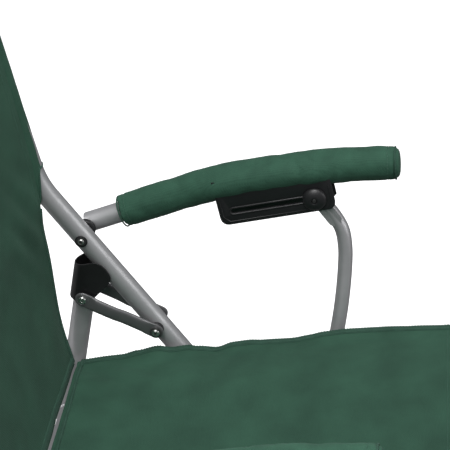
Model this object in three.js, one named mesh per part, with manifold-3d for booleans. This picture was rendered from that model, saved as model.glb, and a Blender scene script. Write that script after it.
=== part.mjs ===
// Folding camp chair with a crossed-leg frame, padded arms and a fabric sling.
// Millimetres, +Z up, the sitter looks along -Y, X runs across the chair.
// The origin is the middle of the footprint, on the floor.

import * as THREE from 'three';
import { mergeVertices, toCreasedNormals } from 'three/addons/utils/BufferGeometryUtils.js';
import Module from 'manifold-3d';

const wasm = await Module();
wasm.setup();

// ---------------------------------------------------------------- driving dimensions

const GAP = 0.3;                 // clearance between pieces that touch
const BORE_EASE = 0.8;           // extra radius of a drawn bore, so its flats clear the tube inside
const ORIGIN_AHEAD = -42.33;     // footprint centre, measured ahead of the scissor pivot
const SMOOTH_SIDES = 6;          // half the number of sides of a drawn round tube
const CREASE = Math.PI / 5;

// Side view of the frame: "ahead" is towards the front, "up" is height above the floor.
const LEAN = THREE.MathUtils.degToRad(40);        // both crossed tubes, from the vertical
const FOOT_AHEAD = 250;                           // foot points, either side of the pivot
const FOOT_UP = 30;
const SCISSOR_UP = FOOT_UP + FOOT_AHEAD / Math.tan(LEAN);
const REAR_LEG_LEAN = THREE.MathUtils.degToRad(6.4);
const REAR_LEG_TO_PIN = 467;                      // foot pivot to the saddle pin
const LINK_LENGTH = 93.92;                        // between the link's two holes
const LINK_ON_LEG = REAR_LEG_TO_PIN + LINK_LENGTH;
const ARM_ON_LEG = 702;                           // arm pivot, from the front foot point
const POST_BEND = 784;                            // where the back post turns steeper
const POST_UPPER = 374;
const POST_RECLINE = THREE.MathUtils.degToRad(17.25);
const RAIL_BEND = 564;                            // where the rear tube turns forward
const RAIL_LENGTH = 153;
const RAIL_RISE = THREE.MathUtils.degToRad(11);
const SUPPORT_ON_RAIL = 539;                      // foot of the arm post
const KNOB = { ahead: 61.2, up: 638 };            // knob at the front end of its slot
const SLOT_RISE = THREE.MathUtils.degToRad(16);

// Across the chair, from the centre plane.
const INNER_TUBE_X = 218;
const OUTER_TUBE_X = 250;
const ARM_TUBE_X = 282;
const SUPPORT_FOOT_X = 243;
const SUPPORT_HEAD_X = 274.6;
const TONGUE_X = 267.9;

// Stock
const TUBE_R = 12.5;
const TUBE_WALL = 1.5;
const BAR_R = 9;
const SUPPORT_R = 8.5;
const ARM_R = 12;
const PAD_R = 19.5;
const BOLT_R = 3.5;
const HOLE_R = 3.9;
const HEAD_R = 7;
const HEAD_HIGH = 3.4;

// Links, saddle and slotted bracket
const LINK_WIDE = 16;
const LINK_THICK = 4.2;
const LINK_INNER_X = 229.4;
const LINK_OUTER_X = 270.6;
const SADDLE_HALF = 16;
const SADDLE_CHEEK = 12.9;
const SADDLE_OUTLINE = [
  [-214.0, 488.0], [-187.0, 489.5], [-179.4, 504.3], [-169.0, 515.0], [-166.8, 523.4],
  [-185.7, 543.0], [-190.0, 546.4], [-195.0, 547.5], [-202.0, 544.0], [-208.5, 537.0], [-212.5, 519.0],
];
const BRACKET_X = [261.7, 264.7];
const BRACKET_RIB_X = 269.6;
const BRACKET_BACK = 112;        // plate, behind the knob
const BRACKET_FRONT = 22;        // plate, ahead of the knob
const BRACKET_DROP = 17;
const BRACKET_RISE = 34;
const BRACKET_CORNER = 9;
const SLOT_TRAVEL = 95;
const SLOT_HALF = 2.7;
const KNOB_R = 13.7;

// Fabric
const SEAT_HALF = 223;
const SEAT_THICK = 3;
const SEAT_SAG = 24;
const SEAT_PROFILE = [
  [-201, 405], [-130, 420.5], [-59, 438], [20, 457.5], [96, 476.2], [130, 482.6], [180, 492.4],
  [228, 501.8], [258, 507.9], [272, 508.2], [281, 502], [284, 490],
];
const BACK_HALF = 231;
const BACK_THICK = 3;
const BACK_SAG = 30;
const BACK_EDGE = [
  [-206, 400], [-217, 440], [-231, 520], [-244, 600], [-254, 640], [-282, 740], [-312, 850], [-348, 978],
];
const SLEEVE_R = 15.6;
const SLEEVE_BORE = 13.3;
const SLEEVE_FROM = 24;          // along the upper post, from its bend
const SLEEVE_TO = 363;

// Arm centreline, rear to front
const ARM_PATH = [
  [-201.2, 567.8], [-162, 586], [-106, 612.5], [-38, 641.5], [52, 666], [100, 675], [146, 681.5],
];
const PAD_START = 0.105;         // fractions of the arm's length
const PAD_END = 1.03;

// Arm support, foot to head
const SUPPORT_PATH = [
  [96.4, 442.8], [99.5, 470], [101.8, 500], [102.6, 528], [101.6, 553], [98.2, 573], [90.5, 594], [79, 615],
];
const TONGUE_THICK = 3.0;
const TONGUE_HALF = 8;

// ---------------------------------------------------------------- materials

const steel = new THREE.MeshStandardMaterial({ name: 'frame_steel', color: 0xb4b6b8, roughness: 0.35, metalness: 0.6 });
const dark = new THREE.MeshStandardMaterial({ name: 'dark_steel', color: 0x4a4b4d, roughness: 0.45, metalness: 0.5 });
const zinc = new THREE.MeshStandardMaterial({ name: 'zinc_bolts', color: 0xc9cac8, roughness: 0.3, metalness: 0.9 });
const plastic = new THREE.MeshStandardMaterial({ name: 'black_plastic', color: 0x1c1d20, roughness: 0.55 });
const fabric = new THREE.MeshStandardMaterial({ name: 'green_fabric', color: 0x2c4a3c, roughness: 0.85 });
const pad = new THREE.MeshStandardMaterial({ name: 'padded_fabric', color: 0x2f4f41, roughness: 0.85 });

// ---------------------------------------------------------------- small helpers

// A point from its place across the chair, ahead of the scissor pivot and above the floor.
function at(across, ahead, up) {
  return new THREE.Vector3(across, -(ahead - ORIGIN_AHEAD), up);
}

// A point in the side view, moved by a length along a direction given from the front horizontal.
function along(point, direction, length) {
  return [point[0] + length * Math.cos(direction), point[1] + length * Math.sin(direction)];
}

const UP_FRONT_TUBE = Math.PI / 2 + LEAN;         // direction of the tube that starts at the front foot
const UP_REAR_TUBE = Math.PI / 2 - LEAN;
const UP_REAR_LEG = Math.PI / 2 - REAR_LEG_LEAN;
const UP_BACK_POST = Math.PI / 2 + POST_RECLINE;
const FRONT_FOOT = [FOOT_AHEAD, FOOT_UP];
const REAR_FOOT = [-FOOT_AHEAD, FOOT_UP];
const SCISSOR = [0, SCISSOR_UP];
const SADDLE_PIN = along(REAR_FOOT, UP_REAR_LEG, REAR_LEG_TO_PIN);
const LINK_PIN = along(FRONT_FOOT, UP_FRONT_TUBE, LINK_ON_LEG);
const ARM_PIN = along(FRONT_FOOT, UP_FRONT_TUBE, ARM_ON_LEG);
const SUPPORT_PIN = along(REAR_FOOT, UP_REAR_TUBE, SUPPORT_ON_RAIL);
const RAIL_CORNER = along(REAR_FOOT, UP_REAR_TUBE, RAIL_BEND);
const RAIL_END = along(RAIL_CORNER, RAIL_RISE, RAIL_LENGTH);
const POST_CORNER = along(FRONT_FOOT, UP_FRONT_TUBE, POST_BEND);
const POST_TOP = along(POST_CORNER, UP_BACK_POST, POST_UPPER);

// Closed three.js geometry to a manifold solid, facing outwards.
function toSolid(geometry) {
  const bare = new THREE.BufferGeometry();
  bare.setAttribute('position', geometry.getAttribute('position').clone());
  bare.setIndex(geometry.getIndex());
  const merged = mergeVertices(bare, 1e-3);
  const points = Float32Array.from(merged.getAttribute('position').array);
  const triangles = Uint32Array.from(merged.getIndex().array);
  const [a, b, c] = [new THREE.Vector3(), new THREE.Vector3(), new THREE.Vector3()];
  let volume = 0;
  for (let i = 0; i < triangles.length; i += 3) {
    a.fromArray(points, triangles[i] * 3);
    b.fromArray(points, triangles[i + 1] * 3);
    c.fromArray(points, triangles[i + 2] * 3);
    volume += a.dot(b.cross(c));
  }
  if (volume < 0) {
    for (let i = 0; i < triangles.length; i += 3) {
      [triangles[i + 1], triangles[i + 2]] = [triangles[i + 2], triangles[i + 1]];
    }
  }
  return new wasm.Manifold(new wasm.Mesh({ numProp: 3, vertProperties: points, triVerts: triangles }));
}

// Manifold solid to a named mesh.
function toMesh(name, solid, material) {
  const out = solid.getMesh();
  const geometry = new THREE.BufferGeometry();
  geometry.setAttribute('position', new THREE.BufferAttribute(Float32Array.from(out.vertProperties), 3));
  geometry.setIndex(new THREE.BufferAttribute(Uint32Array.from(out.triVerts), 1));
  const mesh = new THREE.Mesh(toCreasedNormals(geometry, CREASE), material);
  mesh.name = name;
  return mesh;
}

// Straight runs joined by rounded corners, as one path.
function bentPath(points, bendRadius) {
  const path = new THREE.CurvePath();
  let from = points[0];
  for (let i = 1; i < points.length - 1; i += 1) {
    const before = points[i].clone().sub(points[i - 1]).normalize();
    const after = points[i + 1].clone().sub(points[i]).normalize();
    const cut = bendRadius * Math.tan(before.angleTo(after) / 2);
    const enter = points[i].clone().addScaledVector(before, -cut);
    const leave = points[i].clone().addScaledVector(after, cut);
    path.add(new THREE.LineCurve3(from, enter));
    path.add(new THREE.QuadraticBezierCurve3(enter, points[i].clone(), leave));
    from = leave;
  }
  path.add(new THREE.LineCurve3(from, points[points.length - 1]));
  return path;
}

// Round tube (or bar, without a bore) along a path.
function tube(path, outer, bore, steps) {
  const ring = new THREE.Shape();
  ring.absarc(0, 0, outer, 0, Math.PI * 2, false);
  if (bore > 0) {
    const hole = new THREE.Path();
    hole.absarc(0, 0, bore, 0, Math.PI * 2, true);
    ring.holes.push(hole);
  }
  const drawn = new THREE.ExtrudeGeometry(ring, {
    steps, curveSegments: SMOOTH_SIDES, bevelEnabled: false, extrudePath: path,
  });
  return toSolid(drawn).simplify(0.02);
}

// Straight round piece between two points.
function straight(start, end, outer, bore = 0) {
  return tube(new THREE.LineCurve3(start, end), outer, bore, 1);
}

// Turned piece along X: profile is [radius, distance from the start], pointing to the given side.
function turned(place, side, profile, sides = 12) {
  const outline = profile.map(([radius, distance]) => new THREE.Vector2(radius, distance));
  const lathe = new THREE.LatheGeometry(outline, sides);
  lathe.rotateZ(-side * Math.PI / 2);
  lathe.translate(place.x, place.y, place.z);
  return toSolid(lathe);
}

// Bolt with a low head at each end, from one distance across to another.
function bolt(point, side, fromX, toX, headRadius = HEAD_R) {
  const long = toX - fromX;
  return turned(at(side * fromX, point[0], point[1]), side, [
    [0, 0], [headRadius * 0.8, 0], [headRadius, HEAD_HIGH * 0.45], [headRadius, HEAD_HIGH], [BOLT_R, HEAD_HIGH],
    [BOLT_R, long - HEAD_HIGH], [headRadius, long - HEAD_HIGH], [headRadius, long - HEAD_HIGH * 0.45],
    [headRadius * 0.8, long], [0, long],
  ]);
}

// Spacer washer round a bolt.
function washer(point, side, fromX, toX, radius = 9) {
  const long = toX - fromX;
  return turned(at(side * fromX, point[0], point[1]), side, [
    [HOLE_R, 0], [radius, 0], [radius, long], [HOLE_R, long], [HOLE_R, 0],
  ]);
}

// Cutter for a bolt hole right across one side of the frame.
function boltHole(point, side, radius = HOLE_R) {
  return straight(at(side * 190, point[0], point[1]), at(side * 320, point[0], point[1]), radius);
}

// Flat outline in the side view, given thickness across the chair.
function slab(outline, side, fromX, toX, holes = []) {
  const shape = new THREE.Shape(outline.map(([ahead, up]) => new THREE.Vector2(ahead - ORIGIN_AHEAD, up)));
  for (const hole of holes) {
    shape.holes.push(new THREE.Path(hole.map(([ahead, up]) => new THREE.Vector2(ahead - ORIGIN_AHEAD, up))));
  }
  const geometry = new THREE.ExtrudeGeometry(shape, { depth: toX - fromX, bevelEnabled: false, curveSegments: 6 });
  // drawn in (ahead, up, across): ahead becomes -Y, up becomes Z
  const turn = new THREE.Matrix4().set(0, 0, side, side * fromX, -1, 0, 0, 0, 0, 1, 0, 0, 0, 0, 0, 1);
  geometry.applyMatrix4(turn);
  return toSolid(geometry);
}

// Outline of a bar with round ends between two points.
function roundBar(start, end, halfWidth, steps = 6) {
  const direction = Math.atan2(end[1] - start[1], end[0] - start[0]);
  const outline = [];
  for (let i = 0; i <= steps; i += 1) {
    outline.push(along(end, direction - Math.PI / 2 + Math.PI * i / steps, halfWidth));
  }
  for (let i = 0; i <= steps; i += 1) {
    outline.push(along(start, direction + Math.PI / 2 + Math.PI * i / steps, halfWidth));
  }
  return outline;
}

// Value on a polyline in the side view at a fraction of its length.
function onProfile(profile, fraction) {
  const lengths = [0];
  for (let i = 1; i < profile.length; i += 1) {
    lengths.push(lengths[i - 1] + Math.hypot(profile[i][0] - profile[i - 1][0], profile[i][1] - profile[i - 1][1]));
  }
  const wanted = fraction * lengths[lengths.length - 1];
  let i = 1;
  while (i < profile.length - 1 && lengths[i] < wanted) {
    i += 1;
  }
  const part = (wanted - lengths[i - 1]) / (lengths[i] - lengths[i - 1]);
  const ahead = THREE.MathUtils.lerp(profile[i - 1][0], profile[i][0], part);
  const up = THREE.MathUtils.lerp(profile[i - 1][1], profile[i][1], part);
  const slope = Math.atan2(profile[i][1] - profile[i - 1][1], profile[i][0] - profile[i - 1][0]);
  return { ahead, up, slope };
}

// Thin sheet over a side-view profile; push(acrossFraction, alongFraction) moves it along its back normal.
function sheet(profile, halfWidth, thick, acrossCells, alongCells, push, narrow = () => 0) {
  const geometry = new THREE.BoxGeometry(2, 1, 1, acrossCells, alongCells, 1);
  const place = geometry.getAttribute('position');
  for (let i = 0; i < place.count; i += 1) {
    const acrossPart = place.getX(i);
    const alongPart = place.getY(i) + 0.5;
    const layer = place.getZ(i);
    const line = onProfile(profile, alongPart);
    const shift = layer * thick - push(acrossPart, alongPart);
    const ahead = line.ahead - Math.sin(line.slope) * shift;
    const up = line.up + Math.cos(line.slope) * shift;
    const across = acrossPart * (halfWidth - narrow(alongPart));
    const point = at(across, ahead, up);
    place.setXYZ(i, point.x, point.y, point.z);
  }
  return toSolid(geometry);
}

// ---------------------------------------------------------------- the pieces

const chair = new THREE.Group();
chair.name = 'folding_camp_chair';

function add(name, solid, material) {
  chair.add(toMesh(name, solid, material));
}

// Rubber boot round the lower end of a leaning tube, cut flat at the floor.
function boot(x, foot, direction) {
  const low = along(foot, direction, -48);
  const high = along(foot, direction, 34);
  const outside = straight(at(x, ...low), at(x, ...high), 17);
  const inside = straight(at(x, ...along(foot, direction, -14)), at(x, ...along(foot, direction, 40)), TUBE_R + BORE_EASE);
  const below = toSolid(new THREE.BoxGeometry(120, 400, 200).translate(x, at(0, foot[0], 0).y, -100));
  return outside.subtract(inside).subtract(below);
}

// Plug with a low cap for an open tube end.
function cap(x, end, direction) {
  const disc = straight(at(x, ...along(end, direction, GAP)), at(x, ...along(end, direction, 5)), TUBE_R);
  const plug = straight(at(x, ...along(end, direction, -14)), at(x, ...along(end, direction, 1)), TUBE_R - TUBE_WALL - BORE_EASE);
  return disc.add(plug);
}

const arm3d = (side) => new THREE.CatmullRomCurve3(ARM_PATH.map(([a, u]) => at(side * ARM_TUBE_X, a, u)));

function frontTubeSide(side, word) {
  const x = side * OUTER_TUBE_X;
  const start = along(FRONT_FOOT, UP_FRONT_TUBE, -12);
  const path = bentPath([at(x, ...start), at(x, ...POST_CORNER), at(x, ...POST_TOP)], 105);
  let solid = tube(path, TUBE_R, TUBE_R - TUBE_WALL, 40);
  for (const pin of [SCISSOR, LINK_PIN, ARM_PIN]) {
    solid = solid.subtract(boltHole(pin, side));
  }
  add(`front_leg_back_post_${word}`, solid, steel);
  add(`front_foot_${word}`, boot(x, FRONT_FOOT, UP_FRONT_TUBE), plastic);
  add(`back_post_cap_${word}`, cap(x, POST_TOP, UP_BACK_POST), plastic);
  add(`scissor_bolt_${word}`, bolt(SCISSOR, side, 201.6, 266.4), zinc);
  add(`scissor_spacer_${word}`, washer(SCISSOR, side, 230.9, 237.1), plastic);
  add(`link_bolt_${word}`, bolt(LINK_PIN, side, 223.4, 276.6), zinc);
  add(`link_spacer_${word}`, washer(LINK_PIN, side, 231.9, 237.1, 8.5), plastic);
  add(`arm_pivot_bolt_${word}`, bolt(ARM_PIN, side, 233.7, 297.8, 6), zinc);
  add(`arm_spacer_${word}`, washer(ARM_PIN, side, 262.9, 269.6, 12), plastic);
  const from = along(POST_CORNER, UP_BACK_POST, SLEEVE_FROM);
  const to = along(POST_CORNER, UP_BACK_POST, SLEEVE_TO);
  add(`back_sleeve_${word}`, straight(at(x, ...from), at(x, ...to), SLEEVE_R, SLEEVE_BORE), fabric);
}

function rearTubeSide(side, word) {
  const x = side * INNER_TUBE_X;
  const start = along(REAR_FOOT, UP_REAR_TUBE, -12);
  const path = bentPath([at(x, ...start), at(x, ...RAIL_CORNER), at(x, ...RAIL_END)], 70);
  let solid = tube(path, TUBE_R, TUBE_R - TUBE_WALL, 46);
  for (const pin of [SCISSOR, REAR_FOOT, SUPPORT_PIN]) {
    solid = solid.subtract(boltHole(pin, side));
  }
  add(`rear_leg_seat_rail_${word}`, solid, steel);
  add(`rear_foot_${word}`, boot(x, REAR_FOOT, UP_REAR_TUBE).subtract(boltHole(REAR_FOOT, side, HEAD_R + 1)), plastic);
  add(`seat_rail_cap_${word}`, cap(x, RAIL_END, RAIL_RISE), plastic);
  add(`support_bolt_${word}`, bolt(SUPPORT_PIN, side, 201.6, 255.4, 6), zinc);
  add(`stay_foot_bolt_${word}`, bolt(REAR_FOOT, side, 201.6, 266.4), zinc);
}

function staySide(side, word) {
  const x = side * OUTER_TUBE_X;
  const low = along(REAR_FOOT, UP_REAR_LEG, -14);
  const high = along(REAR_FOOT, UP_REAR_LEG, REAR_LEG_TO_PIN + 24);
  const solid = straight(at(x, ...low), at(x, ...high), TUBE_R, TUBE_R - TUBE_WALL);
  add(`rear_stay_${word}`, solid.subtract(boltHole(REAR_FOOT, side)), steel);

  // cheeks each side of the stay, a web behind it and a cup that the front tube rests in
  const block = slab(SADDLE_OUTLINE, side, OUTER_TUBE_X - SADDLE_HALF, OUTER_TUBE_X + SADDLE_HALF);
  const stayBore = straight(at(x, ...along(low, UP_REAR_LEG, -60)), at(x, ...along(high, UP_REAR_LEG, 0.4)), TUBE_R + BORE_EASE);
  const mouth = slab(
    [along(low, UP_REAR_LEG, 0), along(high, UP_REAR_LEG, 0.4), along(high, UP_REAR_LEG - 1.2, 90), [-60, 440]],
    side, OUTER_TUBE_X - SADDLE_CHEEK, OUTER_TUBE_X + SADDLE_CHEEK,
  );
  const cup = straight(
    at(x, ...along(FRONT_FOOT, UP_FRONT_TUBE, 500)), at(x, ...along(FRONT_FOOT, UP_FRONT_TUBE, 765)), TUBE_R + BORE_EASE,
  );
  const throat = slab(
    [along(FRONT_FOOT, UP_FRONT_TUBE, 500), along(FRONT_FOOT, UP_FRONT_TUBE, 765),
      along(along(FRONT_FOOT, UP_FRONT_TUBE, 765), LEAN, 60), along(along(FRONT_FOOT, UP_FRONT_TUBE, 500), LEAN, 60)],
    side, OUTER_TUBE_X - SADDLE_CHEEK, OUTER_TUBE_X + SADDLE_CHEEK,
  );
  add(`saddle_bracket_${word}`, block.subtract(stayBore).subtract(mouth).subtract(cup).subtract(throat), plastic);
}

function linkSide(side, word) {
  for (const [layer, centre, facing] of [['inner', LINK_INNER_X, -1], ['outer', LINK_OUTER_X, 1]]) {
    const half = LINK_THICK / 2;
    const outline = roundBar(LINK_PIN, SADDLE_PIN, LINK_WIDE / 2);
    let solid = slab(outline, side, centre - half, centre + half);
    solid = solid.subtract(boltHole(LINK_PIN, side)).subtract(boltHole(SADDLE_PIN, side));
    add(`link_${layer}_${word}`, solid, dark);
    const outward = side * facing;
    const rivet = turned(at(side * (centre - facing * 3.9), SADDLE_PIN[0], SADDLE_PIN[1]), outward, [
      [0, 0], [BOLT_R, 0], [BOLT_R, 6.3], [HEAD_R, 6.3], [HEAD_R, 7.9], [HEAD_R * 0.8, 9.4], [0, 9.4],
    ]);
    add(`link_rivet_${layer}_${word}`, rivet, zinc);
  }
}

const knobPoint = [KNOB.ahead, KNOB.up];
const slotFrame = (back, rise) => along(along(knobPoint, SLOT_RISE, -back), SLOT_RISE + Math.PI / 2, rise);

// Side-view outline of the plate under the arm, with round lower corners.
function plateOutline() {
  const corner = BRACKET_CORNER;
  const lower = [];
  for (const [back, turn] of [[BRACKET_BACK - corner, Math.PI], [-BRACKET_FRONT + corner, Math.PI * 1.5]]) {
    for (let i = 0; i <= 4; i += 1) {
      const angle = SLOT_RISE + turn + Math.PI / 2 * i / 4;
      lower.push(along(slotFrame(back, -BRACKET_DROP + corner), angle, corner));
    }
  }
  return [...lower, slotFrame(-BRACKET_FRONT, BRACKET_RISE - 4), slotFrame(BRACKET_BACK, BRACKET_RISE + 6)];
}

function armSide(side, word) {
  const curve = arm3d(side);
  const bare = tube(curve, ARM_R, ARM_R - TUBE_WALL, 15);
  add(`arm_tube_${word}`, bare.subtract(boltHole(ARM_PIN, side)), steel);

  const slot = roundBar(slotFrame(SLOT_TRAVEL, 0), knobPoint, SLOT_HALF, 5).reverse();
  const plate = slab(plateOutline(), side, BRACKET_X[0], BRACKET_X[1], [slot]);
  const rib = slab(
    [slotFrame(BRACKET_BACK - 4, 31.5), slotFrame(-BRACKET_FRONT + 4, 25.5), slotFrame(-BRACKET_FRONT + 4, BRACKET_RISE - 5),
      slotFrame(BRACKET_BACK - 4, BRACKET_RISE + 5)],
    side, BRACKET_X[0] + 1, BRACKET_RIB_X,
  );
  const bracket = plate.add(rib);
  add(`slot_bracket_${word}`, bracket, plastic);

  // padded sleeve, open underneath where the slotted plate comes out
  const part = curve.getPoints(60).filter((_, i) => i / 60 >= PAD_START);
  const last = part[part.length - 1];
  const ahead = last.clone().sub(part[part.length - 2]).normalize();
  const padPath = new THREE.CatmullRomCurve3([...part.filter((_, i) => i % 6 === 0), last.clone().addScaledVector(ahead, 7)]);
  const roll = tube(padPath, PAD_R, ARM_R + BORE_EASE, 13);
  const slit = slab(
    [slotFrame(BRACKET_BACK + 5, -BRACKET_DROP), slotFrame(-BRACKET_FRONT - 5, -BRACKET_DROP),
      slotFrame(-BRACKET_FRONT - 5, BRACKET_RISE + 4), slotFrame(BRACKET_BACK + 5, BRACKET_RISE + 12)],
    side, BRACKET_X[0] - 6, BRACKET_RIB_X + 1,
  );
  add(`arm_pad_${word}`, roll.subtract(slit), pad);
}

function knobSide(side, word) {
  const place = at(side * (BRACKET_X[0] - GAP), KNOB.ahead, KNOB.up);
  const dome = turned(place, -side, [
    [0, -4.6], [5.5, -4.6], [5.5, -3.6], [SLOT_HALF - 0.4, -3.6], [SLOT_HALF - 0.4, 0], [KNOB_R, 0], [KNOB_R, 3.2],
    [KNOB_R * 0.86, 5.8], [KNOB_R * 0.55, 7.6], [0, 8.2],
  ], 16);
  add(`slide_knob_${word}`, dome, plastic);
}

function supportSide(side, word) {
  const count = SUPPORT_PATH.length - 1;
  const points = SUPPORT_PATH.map(([ahead, up], i) => {
    const across = THREE.MathUtils.lerp(SUPPORT_FOOT_X, SUPPORT_HEAD_X, THREE.MathUtils.smoothstep(i / count, 0, 1));
    return at(side * across, ahead, up);
  });
  const down = at(side * SUPPORT_FOOT_X, SUPPORT_PATH[0][0] - 1.5, SUPPORT_PATH[0][1] - 14);
  const path = new THREE.CatmullRomCurve3([down, ...points]);
  const round = tube(path, SUPPORT_R, 0, 14);
  const start = along(knobPoint, Math.atan2(615 - KNOB.up, 79 - KNOB.ahead), 46);
  const tongue = slab(roundBar(start, knobPoint, TONGUE_HALF), side, TONGUE_X - TONGUE_THICK / 2, TONGUE_X + TONGUE_THICK / 2);
  const solid = round.add(tongue).subtract(boltHole(SUPPORT_PIN, side)).subtract(boltHole(knobPoint, side, 2.6));
  add(`arm_support_${word}`, solid, steel);
}

for (const [side, word] of [[1, 'left'], [-1, 'right']]) {
  frontTubeSide(side, word);
  rearTubeSide(side, word);
  staySide(side, word);
  linkSide(side, word);
  armSide(side, word);
  knobSide(side, word);
  supportSide(side, word);
}

// Cross bars between the two sides
function crossBar(name, point, halfLength) {
  add(name, straight(at(-halfLength, ...point), at(halfLength, ...point), BAR_R, BAR_R - TUBE_WALL), steel);
}

const outerBar = OUTER_TUBE_X - TUBE_R - GAP;
const innerBar = INNER_TUBE_X - TUBE_R - GAP;
crossBar('front_bar_low', along(FRONT_FOOT, UP_FRONT_TUBE, 110), outerBar);
crossBar('front_bar_high', along(FRONT_FOOT, UP_FRONT_TUBE, 262), outerBar);
crossBar('rear_bar', along(REAR_FOOT, UP_REAR_TUBE, 180), innerBar);
crossBar('seat_front_bar', along(RAIL_END, RAIL_RISE, -14), innerBar);
crossBar('stay_bar', along(REAR_FOOT, UP_REAR_LEG, 300), outerBar);

// Fabric panels
const dip = (part) => Math.cos(Math.min(Math.abs(part) * SEAT_HALF / 198, 1) * Math.PI / 2) ** 2;
const seatPush = (across, part) => SEAT_SAG * dip(across) * Math.sin(Math.PI * Math.min(1, part * 1.18)) ** 0.7;
add('seat_panel', sheet(SEAT_PROFILE, SEAT_HALF, SEAT_THICK, 10, 16, seatPush), fabric);
const backPush = (across, part) => -BACK_SAG * Math.cos(across * Math.PI / 2) * Math.min(1, part * 2.4);
add('back_panel', sheet(BACK_EDGE, BACK_HALF, BACK_THICK, 10, 10, backPush), fabric);

const bounds = new THREE.Box3().setFromObject(chair);
if (Math.abs(bounds.min.y + bounds.max.y) > 1) {
  console.error('origin is off centre by', (bounds.min.y + bounds.max.y) / 2);
}

export default chair;
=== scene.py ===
"""Folding camp chair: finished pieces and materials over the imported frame."""

from __future__ import annotations

import logging
import math
from dataclasses import dataclass, field
from enum import Enum
from typing import Callable, Sequence

import bpy
from mathutils import Matrix, Vector, noise

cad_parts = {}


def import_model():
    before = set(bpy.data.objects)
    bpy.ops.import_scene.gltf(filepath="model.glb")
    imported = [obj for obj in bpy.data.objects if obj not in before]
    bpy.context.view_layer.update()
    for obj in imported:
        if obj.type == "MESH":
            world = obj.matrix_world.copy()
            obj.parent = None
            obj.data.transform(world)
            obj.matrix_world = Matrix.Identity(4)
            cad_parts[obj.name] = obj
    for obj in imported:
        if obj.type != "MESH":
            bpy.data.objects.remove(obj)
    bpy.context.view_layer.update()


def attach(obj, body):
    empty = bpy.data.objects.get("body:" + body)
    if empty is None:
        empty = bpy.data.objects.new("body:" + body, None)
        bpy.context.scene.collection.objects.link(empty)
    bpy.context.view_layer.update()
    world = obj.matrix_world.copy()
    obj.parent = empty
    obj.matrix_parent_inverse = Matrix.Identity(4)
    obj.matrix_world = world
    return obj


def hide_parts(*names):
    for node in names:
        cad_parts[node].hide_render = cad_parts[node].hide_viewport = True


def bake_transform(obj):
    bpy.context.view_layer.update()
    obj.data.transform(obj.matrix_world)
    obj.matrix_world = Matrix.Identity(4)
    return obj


log = logging.getLogger("camp_chair")

MM = 0.001
ORIGIN_AHEAD = -42.33
Pair = tuple[float, float]
Colour = tuple[float, float, float]
CROSSING = "front and rear frame"


class Side(Enum):
    """The sitter's two sides, with the sign of X."""

    LEFT = 1
    RIGHT = -1

    @property
    def word(self) -> str:
        """Name used in piece names."""
        return self.name.lower()


class Slot(str, Enum):
    """Material slots of the record."""

    STEEL = "frame_steel"
    DARK = "dark_steel"
    ZINC = "zinc_bolts"
    PLASTIC = "black_plastic"
    CLOTH = "green_fabric"
    PAD = "padded_fabric"


# ------------------------------------------------------------------ places


def at(across: float, ahead: float, up: float) -> Vector:
    """Place in metres from millimetres across, ahead of the scissor pivot and above the floor.

    Args:
        across: distance along X.
        ahead: distance towards the front.
        up: height above the floor.

    Returns:
        The point in the row frame.
    """
    return Vector((across, ORIGIN_AHEAD - ahead, up)) * MM


def along(point: Pair, degrees: float, length: float) -> Pair:
    """Side-view point moved by a length in a direction from the front horizontal."""
    turn = math.radians(degrees)
    return point[0] + length * math.cos(turn), point[1] + length * math.sin(turn)


@dataclass(frozen=True)
class FramePlan:
    """Side view of the chair's frame, in millimetres and degrees."""

    front_up: float = 130.0
    rear_up: float = 50.0
    stay_up: float = 83.6
    post_up: float = 107.25
    rail_rise: float = 11.0
    slot_rise: float = 16.0
    front_foot: Pair = (250.0, 30.0)
    rear_foot: Pair = (-250.0, 30.0)
    outer_x: float = 250.0
    inner_x: float = 218.0
    arm_x: float = 282.0
    knob: Pair = (61.2, 638.0)
    saddle_reach: float = 467.0
    link_reach: float = 560.92
    arm_reach: float = 702.0
    post_reach: float = 784.0
    post_long: float = 374.0
    support_reach: float = 539.0
    rail_reach: float = 564.0
    rail_long: float = 153.0

    @property
    def scissor(self) -> Pair:
        """Where the crossed tubes turn on each other."""
        ahead, up = self.front_foot
        return 0.0, up + ahead / math.tan(math.radians(self.front_up - 90))

    @property
    def saddle_pin(self) -> Pair:
        """Pin through the saddle and both links."""
        return along(self.rear_foot, self.stay_up, self.saddle_reach)

    @property
    def link_pin(self) -> Pair:
        """Bolt through both links and the front tube."""
        return along(self.front_foot, self.front_up, self.link_reach)

    @property
    def arm_pin(self) -> Pair:
        """Arm pivot on the front tube."""
        return along(self.front_foot, self.front_up, self.arm_reach)

    @property
    def post_corner(self) -> Pair:
        """Corner where the back post turns steeper."""
        return along(self.front_foot, self.front_up, self.post_reach)

    @property
    def support_pin(self) -> Pair:
        """Foot bolt of the arm support."""
        return along(self.rear_foot, self.rear_up, self.support_reach)

    @property
    def rail_corner(self) -> Pair:
        """Corner where the rear tube becomes the seat rail."""
        return along(self.rear_foot, self.rear_up, self.rail_reach)

    @property
    def rail_end(self) -> Pair:
        """Front end of the seat rail."""
        return along(self.rail_corner, self.rail_rise, self.rail_long)

    def in_slot(self, back: float, rise: float) -> Pair:
        """Point behind the knob along the slot and above the slot's line."""
        return along(along(self.knob, self.slot_rise, -back), self.slot_rise + 90, rise)


PLAN = FramePlan()


# ------------------------------------------------------------------ modelling helpers


def clear_selection() -> None:
    """Deselect every object."""
    bpy.ops.object.select_all(action="DESELECT")


def only(piece: bpy.types.Object) -> None:
    """Select one object and make it active."""
    clear_selection()
    piece.select_set(True)
    bpy.context.view_layer.objects.active = piece


def apply_all(piece: bpy.types.Object) -> None:
    """Apply all modifiers of a piece in order."""
    only(piece)
    for name in [m.name for m in piece.modifiers]:
        bpy.ops.object.modifier_apply(modifier=name)


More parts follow.
